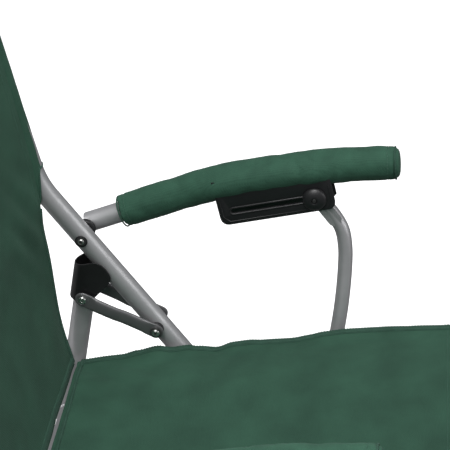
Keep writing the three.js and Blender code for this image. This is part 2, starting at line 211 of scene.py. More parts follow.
def linked(name: str, data: bpy.types.ID) -> bpy.types.Object:
    """New object in the scene that holds a mesh, lamp or camera."""
    piece = bpy.data.objects.new(name, data)
    bpy.context.scene.collection.objects.link(piece)
    return piece


def thicken(piece: bpy.types.Object, thick: float, offset: float = -1) -> None:
    """Give a sheet its thickness.

    Args:
        piece: the sheet.
        thick: thickness in millimetres.
        offset: -1 behind its faces, 0 evenly about them, 1 in front of them.
    """
    shell = piece.modifiers.new("thickness", "SOLIDIFY")
    shell.thickness = thick * MM
    shell.offset = offset
    apply_all(piece)


def settle(piece: bpy.types.Object) -> None:
    """Put a piece's place into its mesh and turn its faces outwards."""
    only(piece)
    bpy.ops.object.transform_apply(location=True, rotation=True, scale=True)
    bpy.ops.object.mode_set(mode="EDIT")
    bpy.ops.mesh.select_all(action="SELECT")
    bpy.ops.mesh.remove_doubles(threshold=1e-6)
    bpy.ops.mesh.normals_make_consistent(inside=False)
    bpy.ops.object.mode_set(mode="OBJECT")


def smooth(piece: bpy.types.Object, degrees: float = 38) -> None:
    """Shade smooth, with edges sharper than the angle kept."""
    only(piece)
    bpy.ops.object.shade_smooth_by_angle(angle=math.radians(degrees))


def round_edges(piece: bpy.types.Object, width: float, segments: int = 2,
                degrees: float = 35) -> None:
    """Bevel the edges sharper than an angle.

    Args:
        piece: mesh to work on.
        width: bevel width in millimetres.
        segments: rows of faces in each bevel.
        degrees: angle from which an edge counts as sharp.
    """
    bevel = piece.modifiers.new("rounded", "BEVEL")
    bevel.width = width * MM
    bevel.segments = segments
    bevel.limit_method = "ANGLE"
    bevel.angle_limit = math.radians(degrees)
    bevel.use_clamp_overlap = True
    apply_all(piece)


def turned(name: str, start: Vector, facing: float, profile: Sequence[Pair],
           sides: int = 32) -> bpy.types.Object:
    """Turned piece about a line along X, drawn ring by ring.

    Args:
        name: piece name.
        start: point on the axis where distance is 0.
        facing: +1 or -1, the way along X in which distances grow.
        profile: (radius, distance) pairs in millimetres, from one end to the other.
        sides: sides of each ring.

    Returns:
        The new piece, in place.
    """
    clear_selection()
    radius, distance = profile[0]
    centre = start + Vector((facing * distance * MM, 0, 0))
    bpy.ops.mesh.primitive_circle_add(
        vertices=sides, radius=max(radius, 0.05) * MM, fill_type="NGON", location=centre,
        rotation=(0, math.pi / 2, 0)
    )
    piece = bpy.context.object
    piece.name = name
    bpy.ops.object.mode_set(mode="EDIT")
    bpy.ops.mesh.select_all(action="SELECT")
    for next_radius, next_distance in profile[1:]:
        step = facing * (next_distance - distance) * MM
        bpy.ops.mesh.extrude_region_move(TRANSFORM_OT_translate={"value": (step, 0, 0)})
        grow = max(next_radius, 0.05) / max(radius, 0.05)
        centre = start + Vector((facing * next_distance * MM, 0, 0))
        bpy.ops.transform.resize(value=(grow, grow, grow), center_override=centre)
        radius, distance = next_radius, next_distance
    bpy.ops.object.mode_set(mode="OBJECT")
    settle(piece)
    return piece


def rods(name: str, lines: Sequence[Sequence[Vector]], radius: float, rings: int,
         caps: bool) -> bpy.types.Object:
    """Round rods along lines of points, as one mesh.

    Args:
        name: piece name.
        lines: the lines, in metres.
        radius: radius in millimetres.
        rings: bevel resolution of the curve.
        caps: whether the ends are closed.

    Returns:
        The new mesh piece.
    """
    clear_selection()
    bpy.ops.curve.primitive_nurbs_path_add(location=(0, 0, 0))
    piece = bpy.context.object
    piece.name = name
    curve = piece.data
    curve.splines.clear()
    for line in lines:
        run = curve.splines.new("POLY")
        run.points.add(len(line) - 1)
        for knot, point in zip(run.points, line):
            knot.co = (*point, 1)
    curve.dimensions = "3D"
    curve.bevel_depth = radius * MM
    curve.bevel_resolution = rings
    curve.use_fill_caps = caps
    bpy.ops.object.convert(target="MESH")
    return bpy.context.object


def sweep(name: str, points: Sequence[Vector], radius: float, wall: float = 0.0,
          rings: int = 7) -> bpy.types.Object:
    """Round tube or rod along a line of points.

    Args:
        name: piece name.
        points: the line, in metres.
        radius: outer radius in millimetres.
        wall: wall thickness in millimetres, or 0 for a solid rod.
        rings: bevel resolution of the curve.

    Returns:
        The new mesh piece.
    """
    piece = rods(name, [points], radius, rings, wall == 0)
    settle(piece)
    if wall:
        thicken(piece, wall)
    return piece


def loft(name: str, rings: Sequence[Sequence[Vector]], closed: bool = True) -> bpy.types.Object:
    """Skin over rings of equal point count, with flat ends when the rings are closed loops.

    Args:
        name: piece name.
        rings: the rings in order, in metres.
        closed: whether each ring is a loop; open rows give an open sheet.

    Returns:
        The new mesh piece.
    """
    count = len(rings[0])
    verts = [point for ring in rings for point in ring]
    faces: list[tuple[int, ...]] = []
    last = count if closed else count - 1
    for row in range(len(rings) - 1):
        for col in range(last):
            nxt = (col + 1) % count
            faces.append((row * count + col, row * count + nxt, (row + 1) * count + nxt,
                          (row + 1) * count + col))
    if closed:
        faces.append(tuple(range(count - 1, -1, -1)))
        faces.append(tuple(range((len(rings) - 1) * count, len(rings) * count)))
    mesh = bpy.data.meshes.new(name)
    mesh.from_pydata(verts, [], faces)
    piece = linked(name, mesh)
    settle(piece)
    return piece


def softened(node: str, name: str, width: float, segments: int = 2,
             degrees: float = 35) -> bpy.types.Object:
    """Copy of a frame piece with its sharp edges rounded.

    Args:
        node: the frame piece to copy.
        name: name of the new piece.
        width: bevel width in millimetres.
        segments: rows in each bevel.
        degrees: angle from which an edge is rounded.

    Returns:
        The new piece.
    """
    mesh = bpy.data.meshes.new_from_object(bpy.data.objects[node])
    mesh.materials.clear()
    piece = linked(name, mesh)
    only(piece)
    bpy.ops.object.mode_set(mode="EDIT")
    bpy.ops.mesh.select_all(action="SELECT")
    bpy.ops.mesh.customdata_custom_splitnormals_clear()
    bpy.ops.mesh.remove_doubles(threshold=2e-5)
    bpy.ops.mesh.dissolve_limited(angle_limit=math.radians(1.5))
    bpy.ops.object.mode_set(mode="OBJECT")
    round_edges(piece, width, segments, degrees)
    smooth(piece, 42)
    return piece


def spline(points: Sequence[Pair], samples: int) -> list[Pair]:
    """Smooth side-view line through points, evenly sampled.

    Args:
        points: points to pass through.
        samples: number of points returned.

    Returns:
        Points evenly spaced along the line.
    """
    dense: list[Pair] = []
    for i in range(len(points) - 1):
        p0, p1 = points[max(i - 1, 0)], points[i]
        p2, p3 = points[i + 1], points[min(i + 2, len(points) - 1)]
        for k in range(16):
            t = k / 16
            dense.append(tuple(
                0.5 * (2 * p1[a] + (p2[a] - p0[a]) * t
                       + (2 * p0[a] - 5 * p1[a] + 4 * p2[a] - p3[a]) * t * t
                       + (3 * p1[a] - p0[a] - 3 * p2[a] + p3[a]) * t ** 3)
                for a in (0, 1)
            ))
    dense.append(points[-1])
    lengths = [0.0]
    for a, b in zip(dense, dense[1:]):
        lengths.append(lengths[-1] + math.hypot(b[0] - a[0], b[1] - a[1]))
    result: list[Pair] = []
    j = 1
    for s in range(samples):
        want = lengths[-1] * s / (samples - 1)
        while j < len(dense) - 1 and lengths[j] < want:
            j += 1
        part = (want - lengths[j - 1]) / max(lengths[j] - lengths[j - 1], 1e-9)
        result.append((dense[j - 1][0] + (dense[j][0] - dense[j - 1][0]) * part,
                       dense[j - 1][1] + (dense[j][1] - dense[j - 1][1]) * part))
    return result


def bent(points: Sequence[Pair], radius: float, steps: int = 10) -> list[Pair]:
    """Straight runs in the side view with rounded corners, as a dense line."""
    line: list[Pair] = [points[0]]
    for before, corner, after in zip(points, points[1:], points[2:]):
        a = Vector(corner) - Vector(before)
        b = Vector(after) - Vector(corner)
        cut = radius * math.tan(a.angle(b) / 2)
        enter = Vector(corner) - a.normalized() * cut
        leave = Vector(corner) + b.normalized() * cut
        for k in range(steps + 1):
            t = k / steps
            spot = enter * (1 - t) ** 2 + Vector(corner) * 2 * t * (1 - t) + leave * t * t
            line.append((spot.x, spot.y))
    line.append(points[-1])
    return line


def normals_2d(line: Sequence[Pair]) -> list[Vector]:
    """Unit normals of a side-view line, a quarter turn from its direction."""
    out: list[Vector] = []
    for i in range(len(line)):
        a, b = line[max(i - 1, 0)], line[min(i + 1, len(line) - 1)]
        run = Vector((b[0] - a[0], b[1] - a[1])).normalized()
        out.append(Vector((-run.y, run.x)))
    return out


def on_line(line: Sequence[Pair], normal: Sequence[Vector],
            part: float) -> tuple[float, float, Vector]:
    """Place and normal at a share of a dense side-view line.

    Args:
        line: the line.
        normal: its normals.
        part: from 0 at its start to 1 at its end.

    Returns:
        Distance ahead, height and normal.
    """
    spot = part * (len(line) - 1)
    i = min(int(spot), len(line) - 2)
    f = spot - i
    ahead = line[i][0] * (1 - f) + line[i + 1][0] * f
    up = line[i][1] * (1 - f) + line[i + 1][1] * f
    return ahead, up, normal[i] * (1 - f) + normal[i + 1] * f


def ease(value: float, low: float, high: float) -> float:
    """Smooth step from 0 at low to 1 at high."""
    t = min(max((value - low) / (high - low), 0.0), 1.0)
    return t * t * (3 - 2 * t)


def hold(piece: bpy.types.Object, body: str, slot: Slot, material: bpy.types.Material, *nodes: str,
         smooth_at: float = 0.0) -> None:
    """Dress a piece, place it on its body and let it stand for frame pieces.

    Args:
        piece: the finished piece.
        body: body that it rides on, or CROSSING for cloth that spans the two frames; such a piece
            is left on no body.
        slot: record slot of its finish; not used.
        material: the finish.
        nodes: frame pieces that it replaces.
        smooth_at: shade smooth but for edges over this angle, or 0 to leave it.
    """
    if smooth_at:
        smooth(piece, smooth_at)
    piece.data.materials.clear()
    piece.data.materials.append(material)
    if body == CROSSING:
        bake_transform(piece)
    else:
        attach(piece, body)
    if nodes:
        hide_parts(*nodes)
    log.info("%s on %s", piece.name, body)


# ------------------------------------------------------------------ shader helpers


class Nodes:
    """Short hand for making shader nodes in a tree."""

    def __init__(self, tree: bpy.types.NodeTree) -> None:
        """Keep the tree."""
        self.tree = tree

    def add(self, kind: str, **values: object) -> bpy.types.Node:
        """New node, with attributes set by name."""
        node = self.tree.nodes.new(kind)
        for key, value in values.items():
            setattr(node, key, value)
        return node

    def link(self, source: bpy.types.NodeSocket, target: bpy.types.NodeSocket) -> None:
        """Join an output to an input."""
        self.tree.links.new(source, target)

    def math(self, operation: str, a: object, b: object = 0.0) -> bpy.types.NodeSocket:
        """Math node on two sockets or numbers; gives its output."""
        node = self.add("ShaderNodeMath", operation=operation)
        for index, value in enumerate((a, b)):
            if isinstance(value, bpy.types.NodeSocket):
                self.link(value, node.inputs[index])
            else:
                node.inputs[index].default_value = value
        return node.outputs[0]

    def noise(self, vector: bpy.types.NodeSocket, scale: object,
              detail: float = 3.0) -> bpy.types.NodeSocket:
        """Noise texture; gives its factor."""
        node = self.add("ShaderNodeTexNoise")
        node.inputs["Detail"].default_value = detail
        if isinstance(scale, bpy.types.NodeSocket):
            self.link(scale, node.inputs["Scale"])
        else:
            node.inputs["Scale"].default_value = scale
        self.link(vector, node.inputs["Vector"])
        return node.outputs[0]

    def between(self, factor: bpy.types.NodeSocket, low: float, high: float, start: float = 0.3,
                end: float = 0.7) -> bpy.types.NodeSocket:
        """Map a factor range to a value range."""
        node = self.add("ShaderNodeMapRange")
        self.link(factor, node.inputs["Value"])
        for key, value in (("From Min", start), ("From Max", end), ("To Min", low),
                           ("To Max", high)):
            node.inputs[key].default_value = value
        return node.outputs[0]

    def mix(self, factor: bpy.types.NodeSocket, a: object, b: object) -> bpy.types.NodeSocket:
        """Mix two colours by a factor; gives the colour."""
        node = self.add("ShaderNodeMix", data_type="RGBA")
        self.link(factor, node.inputs[0])
        for index, value in ((6, a), (7, b)):
            if isinstance(value, bpy.types.NodeSocket):
                self.link(value, node.inputs[index])
            else:
                node.inputs[index].default_value = (*value, 1)
        return node.outputs[2]

    def bump(self, height: bpy.types.NodeSocket, distance: float,
             strength: float = 1.0) -> bpy.types.NodeSocket:
        """Bump node; gives the normal. Distance is in millimetres."""
        node = self.add("ShaderNodeBump")
        node.inputs["Distance"].default_value = distance * MM
        node.inputs["Strength"].default_value = strength
        self.link(height, node.inputs["Height"])
        return node.outputs[0]


class Effects:
    """Shader groups that more than one finish uses."""

    def __init__(self) -> None:
        """Build the groups once."""
        self.weave = self._weave()
        self.scuff = self._scuff()

    @staticmethod
    def _group(name: str, inputs: dict[str, float],
               outputs: Sequence[str]) -> tuple[bpy.types.NodeTree, Nodes]:
        """Empty group with number inputs and outputs."""
        tree = bpy.data.node_groups.new(name, "ShaderNodeTree")
        for label, value in inputs.items():
            socket = tree.interface.new_socket(label, in_out="INPUT", socket_type="NodeSocketFloat")
            socket.default_value = value
        for label in outputs:
            tree.interface.new_socket(label, in_out="OUTPUT", socket_type="NodeSocketFloat")
        return tree, Nodes(tree)

    def _weave(self) -> bpy.types.NodeTree:
        """Plain weave: threads across, and threads along the cloth whichever way it faces."""
        tree, n = self._group("plain weave", {"Threads per metre": 900.0, "Slub": 0.3},
                              ("Height", "Shade"))
        entry, out = n.add("NodeGroupInput"), n.add("NodeGroupOutput")
        place = n.add("ShaderNodeTexCoord").outputs["Object"]
        wobble = n.noise(place, 60.0, 2.0)
        axes = n.add("ShaderNodeSeparateXYZ")
        n.link(place, axes.inputs[0])
        turns = n.math("MULTIPLY", entry.outputs[0], math.pi)
        drift = n.math("MULTIPLY", wobble, 3.0)
        across = n.math("ADD", n.math("MULTIPLY", axes.outputs[0], turns), drift)
        down = n.math("SUBTRACT", axes.outputs[2], n.math("MULTIPLY", axes.outputs[1], 0.82))
        down = n.math("ADD", n.math("MULTIPLY", down, turns), drift)
        warp = n.math("ABSOLUTE", n.math("SINE", across))
        weft = n.math("ABSOLUTE", n.math("SINE", down))
        crossing = n.math("SINE", across)
        over = n.math("GREATER_THAN", n.math("MULTIPLY", crossing, n.math("SINE", down)), 0.0)
        picked = n.add("ShaderNodeMix", data_type="FLOAT")
        n.link(over, picked.inputs[0])
        n.link(warp, picked.inputs[2])
        n.link(weft, picked.inputs[3])
        slub = n.math("MULTIPLY", n.noise(place, 420.0, 2.0), entry.outputs[1])
        height = n.math("ADD", picked.outputs[0], slub)
        n.link(height, out.inputs[0])
        # Shade output: darker where the threads dip, which is painted shade between the threads,
        # plus the slubs' random tone.
        shade = n.math("ADD", n.math("MULTIPLY", picked.outputs[0], 0.55),
                       n.math("MULTIPLY", slub, 0.9))
        n.link(shade, out.inputs[1])
        return tree

    def _scuff(self) -> bpy.types.NodeTree:
        """Patchy handling marks and fine grain."""
        tree, n = self._group("handling marks", {"Patch scale": 40.0, "Grain scale": 1500.0},
                              ("Patch", "Grain"))
        entry, out = n.add("NodeGroupInput"), n.add("NodeGroupOutput")
        place = n.add("ShaderNodeTexCoord").outputs["Object"]
        n.link(n.noise(place, entry.outputs[0], 5.0), out.inputs[0])
        n.link(n.noise(place, entry.outputs[1], 2.0), out.inputs[1])
        return tree


@dataclass(frozen=True)
class HardFinish:
    """Coated metal, bare metal or moulded plastic."""

    name: str
    light: Colour
    deep: Colour
    metallic: float
    rough: Pair
    grain_scale: float
    grain_depth: float
    coat: float = 0.0

    def material(self, effects: Effects) -> bpy.types.Material:
        """Build the material.

        Args:
            effects: shared shader groups.

        Returns:
            The finished material.
        """
        made = bpy.data.materials.new(self.name)
        made.use_nodes = True
        n = Nodes(made.node_tree)
        shader = made.node_tree.nodes["Principled BSDF"]
        marks = n.add("ShaderNodeGroup", node_tree=effects.scuff)
        marks.inputs["Grain scale"].default_value = self.grain_scale
        n.link(n.mix(n.between(marks.outputs["Patch"], 0, 1), self.deep, self.light),
               shader.inputs["Base Color"])
        n.link(n.between(marks.outputs["Patch"], self.rough[1], self.rough[0]),
               shader.inputs["Roughness"])
        n.link(n.bump(marks.outputs["Grain"], self.grain_depth, 0.6), shader.inputs["Normal"])
        shader.inputs["Metallic"].default_value = self.metallic
        shader.inputs["Coat Weight"].default_value = self.coat
        shader.inputs["Coat Roughness"].default_value = 0.18
        return made


@dataclass(frozen=True)
class ClothFinish:
    """Woven polyester."""

    name: str
    light: Colour
    deep: Colour
    threads: float
    depth: float
    crease_scale: float
    crease_depth: float
    sheen: float = 0.06

    def material(self, effects: Effects) -> bpy.types.Material:
        """Build the material.

        Args:
            effects: shared shader groups.

        Returns:
            The finished material.
        """
        made = bpy.data.materials.new(self.name)
        made.use_nodes = True
        n = Nodes(made.node_tree)
        shader = made.node_tree.nodes["Principled BSDF"]
        weave = n.add("ShaderNodeGroup", node_tree=effects.weave)
        weave.inputs["Threads per metre"].default_value = self.threads
        marks = n.add("ShaderNodeGroup", node_tree=effects.scuff)
        marks.inputs["Patch scale"].default_value = self.crease_scale
        marks.inputs["Grain scale"].default_value = 700.0
        # Base colour darkens with the weave's painted shade between the threads and with random
        # patches of tone.
        weave_shade_and_patches = n.math("ADD", n.math("MULTIPLY", weave.outputs["Shade"], 0.55),
                      n.math("MULTIPLY", n.between(marks.outputs["Patch"], 0, 1), 0.45))
        n.link(n.mix(weave_shade_and_patches, self.deep, self.light), shader.inputs["Base Color"])
        n.link(n.between(weave.outputs["Shade"], 0.92, 0.7, 0, 1), shader.inputs["Roughness"])
        creased = n.bump(marks.outputs["Patch"], self.crease_depth, 0.5)
        woven = n.add("ShaderNodeBump")
        woven.inputs["Distance"].default_value = self.depth * MM
        woven.inputs["Strength"].default_value = 0.55
        n.link(weave.outputs["Height"], woven.inputs["Height"])
        n.link(creased, woven.inputs["Normal"])
        n.link(woven.outputs[0], shader.inputs["Normal"])
        shader.inputs["Sheen Weight"].default_value = self.sheen
        shader.inputs["Sheen Roughness"].default_value = 0.5
        shader.inputs["Sheen Tint"].default_value = (0.55, 0.75, 0.65, 1)
        shader.inputs["Specular IOR Level"].default_value = 0.3
        return made


class Finishes:
    """All finishes of the chair, built once."""

    def __init__(self) -> None:
        """Make the shared groups and every material."""
        effects = Effects()
        self.steel = HardFinish("satin grey powder coat", (0.46, 0.46, 0.47), (0.40, 0.40, 0.41),
                                0.6, (0.40, 0.47), 1600.0, 0.03, 0.08).material(effects)
        self.dark = HardFinish("anthracite coat", (0.20, 0.20, 0.205), (0.15, 0.15, 0.155), 0.65,
                               (0.34, 0.46), 1400.0, 0.03, 0.1).material(effects)
        self.zinc = HardFinish("zinc plate", (0.72, 0.72, 0.70), (0.50, 0.50, 0.49), 1.0,
                               (0.20, 0.38), 900.0, 0.02).material(effects)
        # Near-black steel that is painted shade: the dark disc in each bolt's hexagon socket, the
        # dark ring round each bolt head and the dark knob screws.
        self.recess = HardFinish("shadowed steel", (0.10, 0.10, 0.10), (0.05, 0.05, 0.05), 0.7,
                                 (0.4, 0.55), 900.0, 0.02).material(effects)
        self.plastic = HardFinish("moulded black plastic", (0.0135, 0.0135, 0.015),
                                  (0.009, 0.009, 0.010), 0.0, (0.36, 0.52), 1900.0,
                                  0.04).material(effects)
        self.saddle = HardFinish("black bracket coat", (0.022, 0.022, 0.023), (0.013, 0.013, 0.014),
                                 0.35, (0.30, 0.42), 1700.0, 0.03, 0.1).material(effects)
        self.rubber = HardFinish("foot rubber", (0.020, 0.020, 0.021), (0.012, 0.012, 0.013), 0.0,
                                 (0.6, 0.8), 700.0, 0.05).material(effects)
        self.cloth = ClothFinish("forest green polyester", (0.032, 0.098, 0.062),
                                 (0.013, 0.044, 0.028), 620.0, 0.22, 22.0, 0.9).material(effects)
        self.pad = ClothFinish("padded green polyester", (0.034, 0.106, 0.067),
                               (0.015, 0.052, 0.033), 640.0, 0.22, 55.0, 1.3).material(effects)
        self.binding = ClothFinish("hem binding", (0.032, 0.088, 0.060), (0.015, 0.048, 0.032),
                                   1100.0, 0.25, 90.0, 0.6).material(effects)
        self.thread = ClothFinish("sewing thread", (0.055, 0.13, 0.095), (0.03, 0.08, 0.055),
                                  3000.0, 0.05, 400.0, 0.1).material(effects)


def laid_on(cloth: bpy.types.Object, line: Sequence[Vector], lift: float) -> list[Vector]:
    """Points of a line moved onto a cloth's surface.

    Args:
        cloth: the piece that they lie on.
        line: the points, in metres.
        lift: height over the surface in millimetres.

    Returns:
        The moved points.
    """
    moved: list[Vector] = []
    for point in line:
        found, spot, normal, _ = cloth.closest_point_on_mesh(point)
        moved.append(spot + normal * lift * MM if found else point)
    return moved


def stitches(name: str, line: Sequence[Vector], pitch: float = 4.2,
             size: float = 0.42) -> bpy.types.Object:
    """Row of separate stitches lying on a line.

    Args:
        name: piece name.
        line: dense points along the seam, in metres.
        pitch: distance from stitch to stitch in millimetres.
        size: thread radius in millimetres.

    Returns:
        One mesh of all the stitches.
    """
    lengths = [0.0]
    for a, b in zip(line, line[1:]):
        lengths.append(lengths[-1] + (b - a).length)

    def spot(distance: float) -> Vector:
        """Point at a distance along the line."""
        j = 1
        while j < len(line) - 1 and lengths[j] < distance:
            j += 1
        part = (distance - lengths[j - 1]) / max(lengths[j] - lengths[j - 1], 1e-9)
        return line[j - 1].lerp(line[j], part)

    step = pitch * MM
    threads = []
    for k in range(int(lengths[-1] / step)):
        begin = (k + 0.18) * step
        threads.append([spot(begin), spot(begin + 0.32 * step), spot(begin + 0.64 * step)])
    piece = rods(name, threads, size, 1, True)
    smooth(piece, 60)
    return piece


# ------------------------------------------------------------------ sub-assemblies


@dataclass
class Hardware:
    """Bolts and washers, shared by the frame parts."""

    finishes: Finishes
    shank: float = 3.5
    head_share: float = 0.7

    def bolt(self, name: str, point: Pair, side: Side, start: float, end: float, head: float,
             body: str, node: str) -> None:
        """Button-head bolt with a hexagon socket and a domed nut; the socket is a dark disc of
        painted shade, and a dark ring of painted shadow sits round the head.

        Args:
            name: piece name.
            point: side-view centre.
            side: which side of the chair.
            start: inner end across the chair, in millimetres.
            end: outer end across the chair, in millimetres.
            head: head radius.
            body: body that it rides on.
            node: frame piece that it replaces.
        """
        sign = side.value
        long = end - start
        small = head * self.head_share
        profile = [
            (1.9, 1.5), (2.1, 0.15), (small * 0.62, 0.2), (small * 0.88, 0.7), (small, 1.5),
            (small, 2.5), (head - 0.2, 2.5), (head, 2.7), (head, 3.3), (self.shank, 3.3),
            (self.shank, long - 3.3), (head, long - 3.3), (head, long - 2.8), (small, long - 2.6),
            (small * 0.97, long - 1.7), (small * 0.82, long - 0.7), (small * 0.55, long - 0.1),
            (0.3, long),
        ]
        piece = turned(name, at(sign * start, *point), sign, profile)
        hold(piece, body, Slot.ZINC, self.finishes.zinc, node, smooth_at=40)
        # Dark disc in the hexagon socket: painted shade where the socket's hollow is.
        socket = turned(f"{name}_socket", at(sign * (start + 1.1), *point), sign,
                        [(1.8, 0.0), (1.9, 0.45)], 6)
        hold(socket, body, Slot.DARK, self.finishes.recess)
        # Dark ring round the head: painted shadow that the head throws on the part under it.
        ring = turned(f"{name}_ring", at(sign * (start + 2.2), *point), sign,
                      [(small + 0.1, 0.5), (small + 0.3, 0.1), (head + 0.3, 0.0), (head + 0.6, 0.4),
                       (head + 0.6, 1.0), (small + 0.1, 1.0)], 32)
        hold(ring, body, Slot.DARK, self.finishes.recess, smooth_at=50)

    def washer(self, name: str, point: Pair, side: Side, start: float, end: float, radius: float,
               body: str, node: str) -> None:
        """Rounded spacer round a bolt.

        Args:
            name: piece name.
            point: side-view centre.
            side: which side of the chair.
            start: inner face across the chair.
            end: outer face across the chair.
            radius: outer radius.
            body: body that it rides on.
            node: frame piece that it replaces.
        """
        sign = side.value
        long = end - start
        profile = [(3.75, 0.0), (radius - 1.0, 0.0), (radius - 0.3, 0.35), (radius, 1.1),
                   (radius, long - 1.1), (radius - 0.3, long - 0.35), (radius - 1.0, long),
                   (3.75, long)]
        piece = turned(name, at(sign * start, *point), sign, profile)
        hold(piece, body, Slot.PLASTIC, self.finishes.plastic, node, smooth_at=50)


@dataclass
class FrameTubes:
    """All round tubes and cross bars, with their feet and caps."""

    finishes: Finishes
    tube_r: float = 12.5
    wall: float = 1.5
    bar_r: float = 9.0
    end_run: float = 12.0
    post_fillet: float = 105.0
    rail_fillet: float = 70.0
    stay_top: float = 491.0
    outer_half: float = 237.2
    inner_half: float = 205.2

    def _tube(self, name: str, across: float, line: Sequence[Pair], body: str, node: str) -> None:
        """One bent frame tube in a plane of the side view."""
        piece = sweep(name, [at(across, *p) for p in line], self.tube_r, self.wall)
        round_edges(piece, 0.35, 2, 60)
        hold(piece, body, Slot.STEEL, self.finishes.steel, node, smooth_at=50)

    def side(self, side: Side) -> None:
        """Tubes, feet and caps of one side."""
        w, s = side.word, side.value
        plan = PLAN
        top = along(plan.post_corner, plan.post_up, plan.post_long)
        start = along(plan.front_foot, plan.front_up, -self.end_run)
        line = bent([start, plan.post_corner, top], self.post_fillet)
        self._tube(f"long_tube_{w}", s * plan.outer_x, line, "front_frame",
                   f"front_leg_back_post_{w}")
        start = along(plan.rear_foot, plan.rear_up, -self.end_run)
        line = bent([start, plan.rail_corner, plan.rail_end], self.rail_fillet)
        self._tube(f"rail_tube_{w}", s * plan.inner_x, line, "rear_frame",
                   f"rear_leg_seat_rail_{w}")
        line = [along(plan.rear_foot, plan.stay_up, -14),
                along(plan.rear_foot, plan.stay_up, self.stay_top)]
        self._tube(f"stay_tube_{w}", s * plan.outer_x, line, "stay_frame", f"rear_stay_{w}")
        for node, body in ((f"front_foot_{w}", "front_frame"), (f"rear_foot_{w}", "rear_frame")):
            piece = softened(node, f"boot_{node}", 1.6, 3, 38)
            hold(piece, body, Slot.PLASTIC, self.finishes.rubber, node)
        for node, body in ((f"back_post_cap_{w}", "front_frame"),
                           (f"seat_rail_cap_{w}", "rear_frame")):
            piece = softened(node, f"plug_{node}", 1.4, 3, 40)
            hold(piece, body, Slot.PLASTIC, self.finishes.plastic, node)

    def bars(self) -> None:
        """Cross bars between the sides, with a weld bead at each end."""
        plan = PLAN
        for name, point, half, body in (
            ("front_bar_low", along(plan.front_foot, plan.front_up, 110), self.outer_half,
             "front_frame"),
            ("front_bar_high", along(plan.front_foot, plan.front_up, 262), self.outer_half,
             "front_frame"),
            ("rear_bar", along(plan.rear_foot, plan.rear_up, 180), self.inner_half, "rear_frame"),
            ("seat_front_bar", along(plan.rail_end, plan.rail_rise, -14), self.inner_half,
             "rear_frame"),
            ("stay_bar", along(plan.rear_foot, plan.stay_up, 300), self.outer_half, "stay_frame"),
        ):
            line = [at(-half, *point), at(half, *point)]
            piece = sweep(f"tube_{name}", line, self.bar_r, self.wall)
            hold(piece, body, Slot.STEEL, self.finishes.steel, name, smooth_at=50)
            for side in Side:
                bead = turned(f"weld_{name}_{side.word}", at(side.value * (half - 2.6), *point),
                              side.value,
                              [(9.1, 0), (9.6, 0.5), (10.3, 1.3), (10.5, 2.0), (9.6, 2.5)], 28)
                hold(bead, body, Slot.STEEL, self.finishes.steel, smooth_at=60)


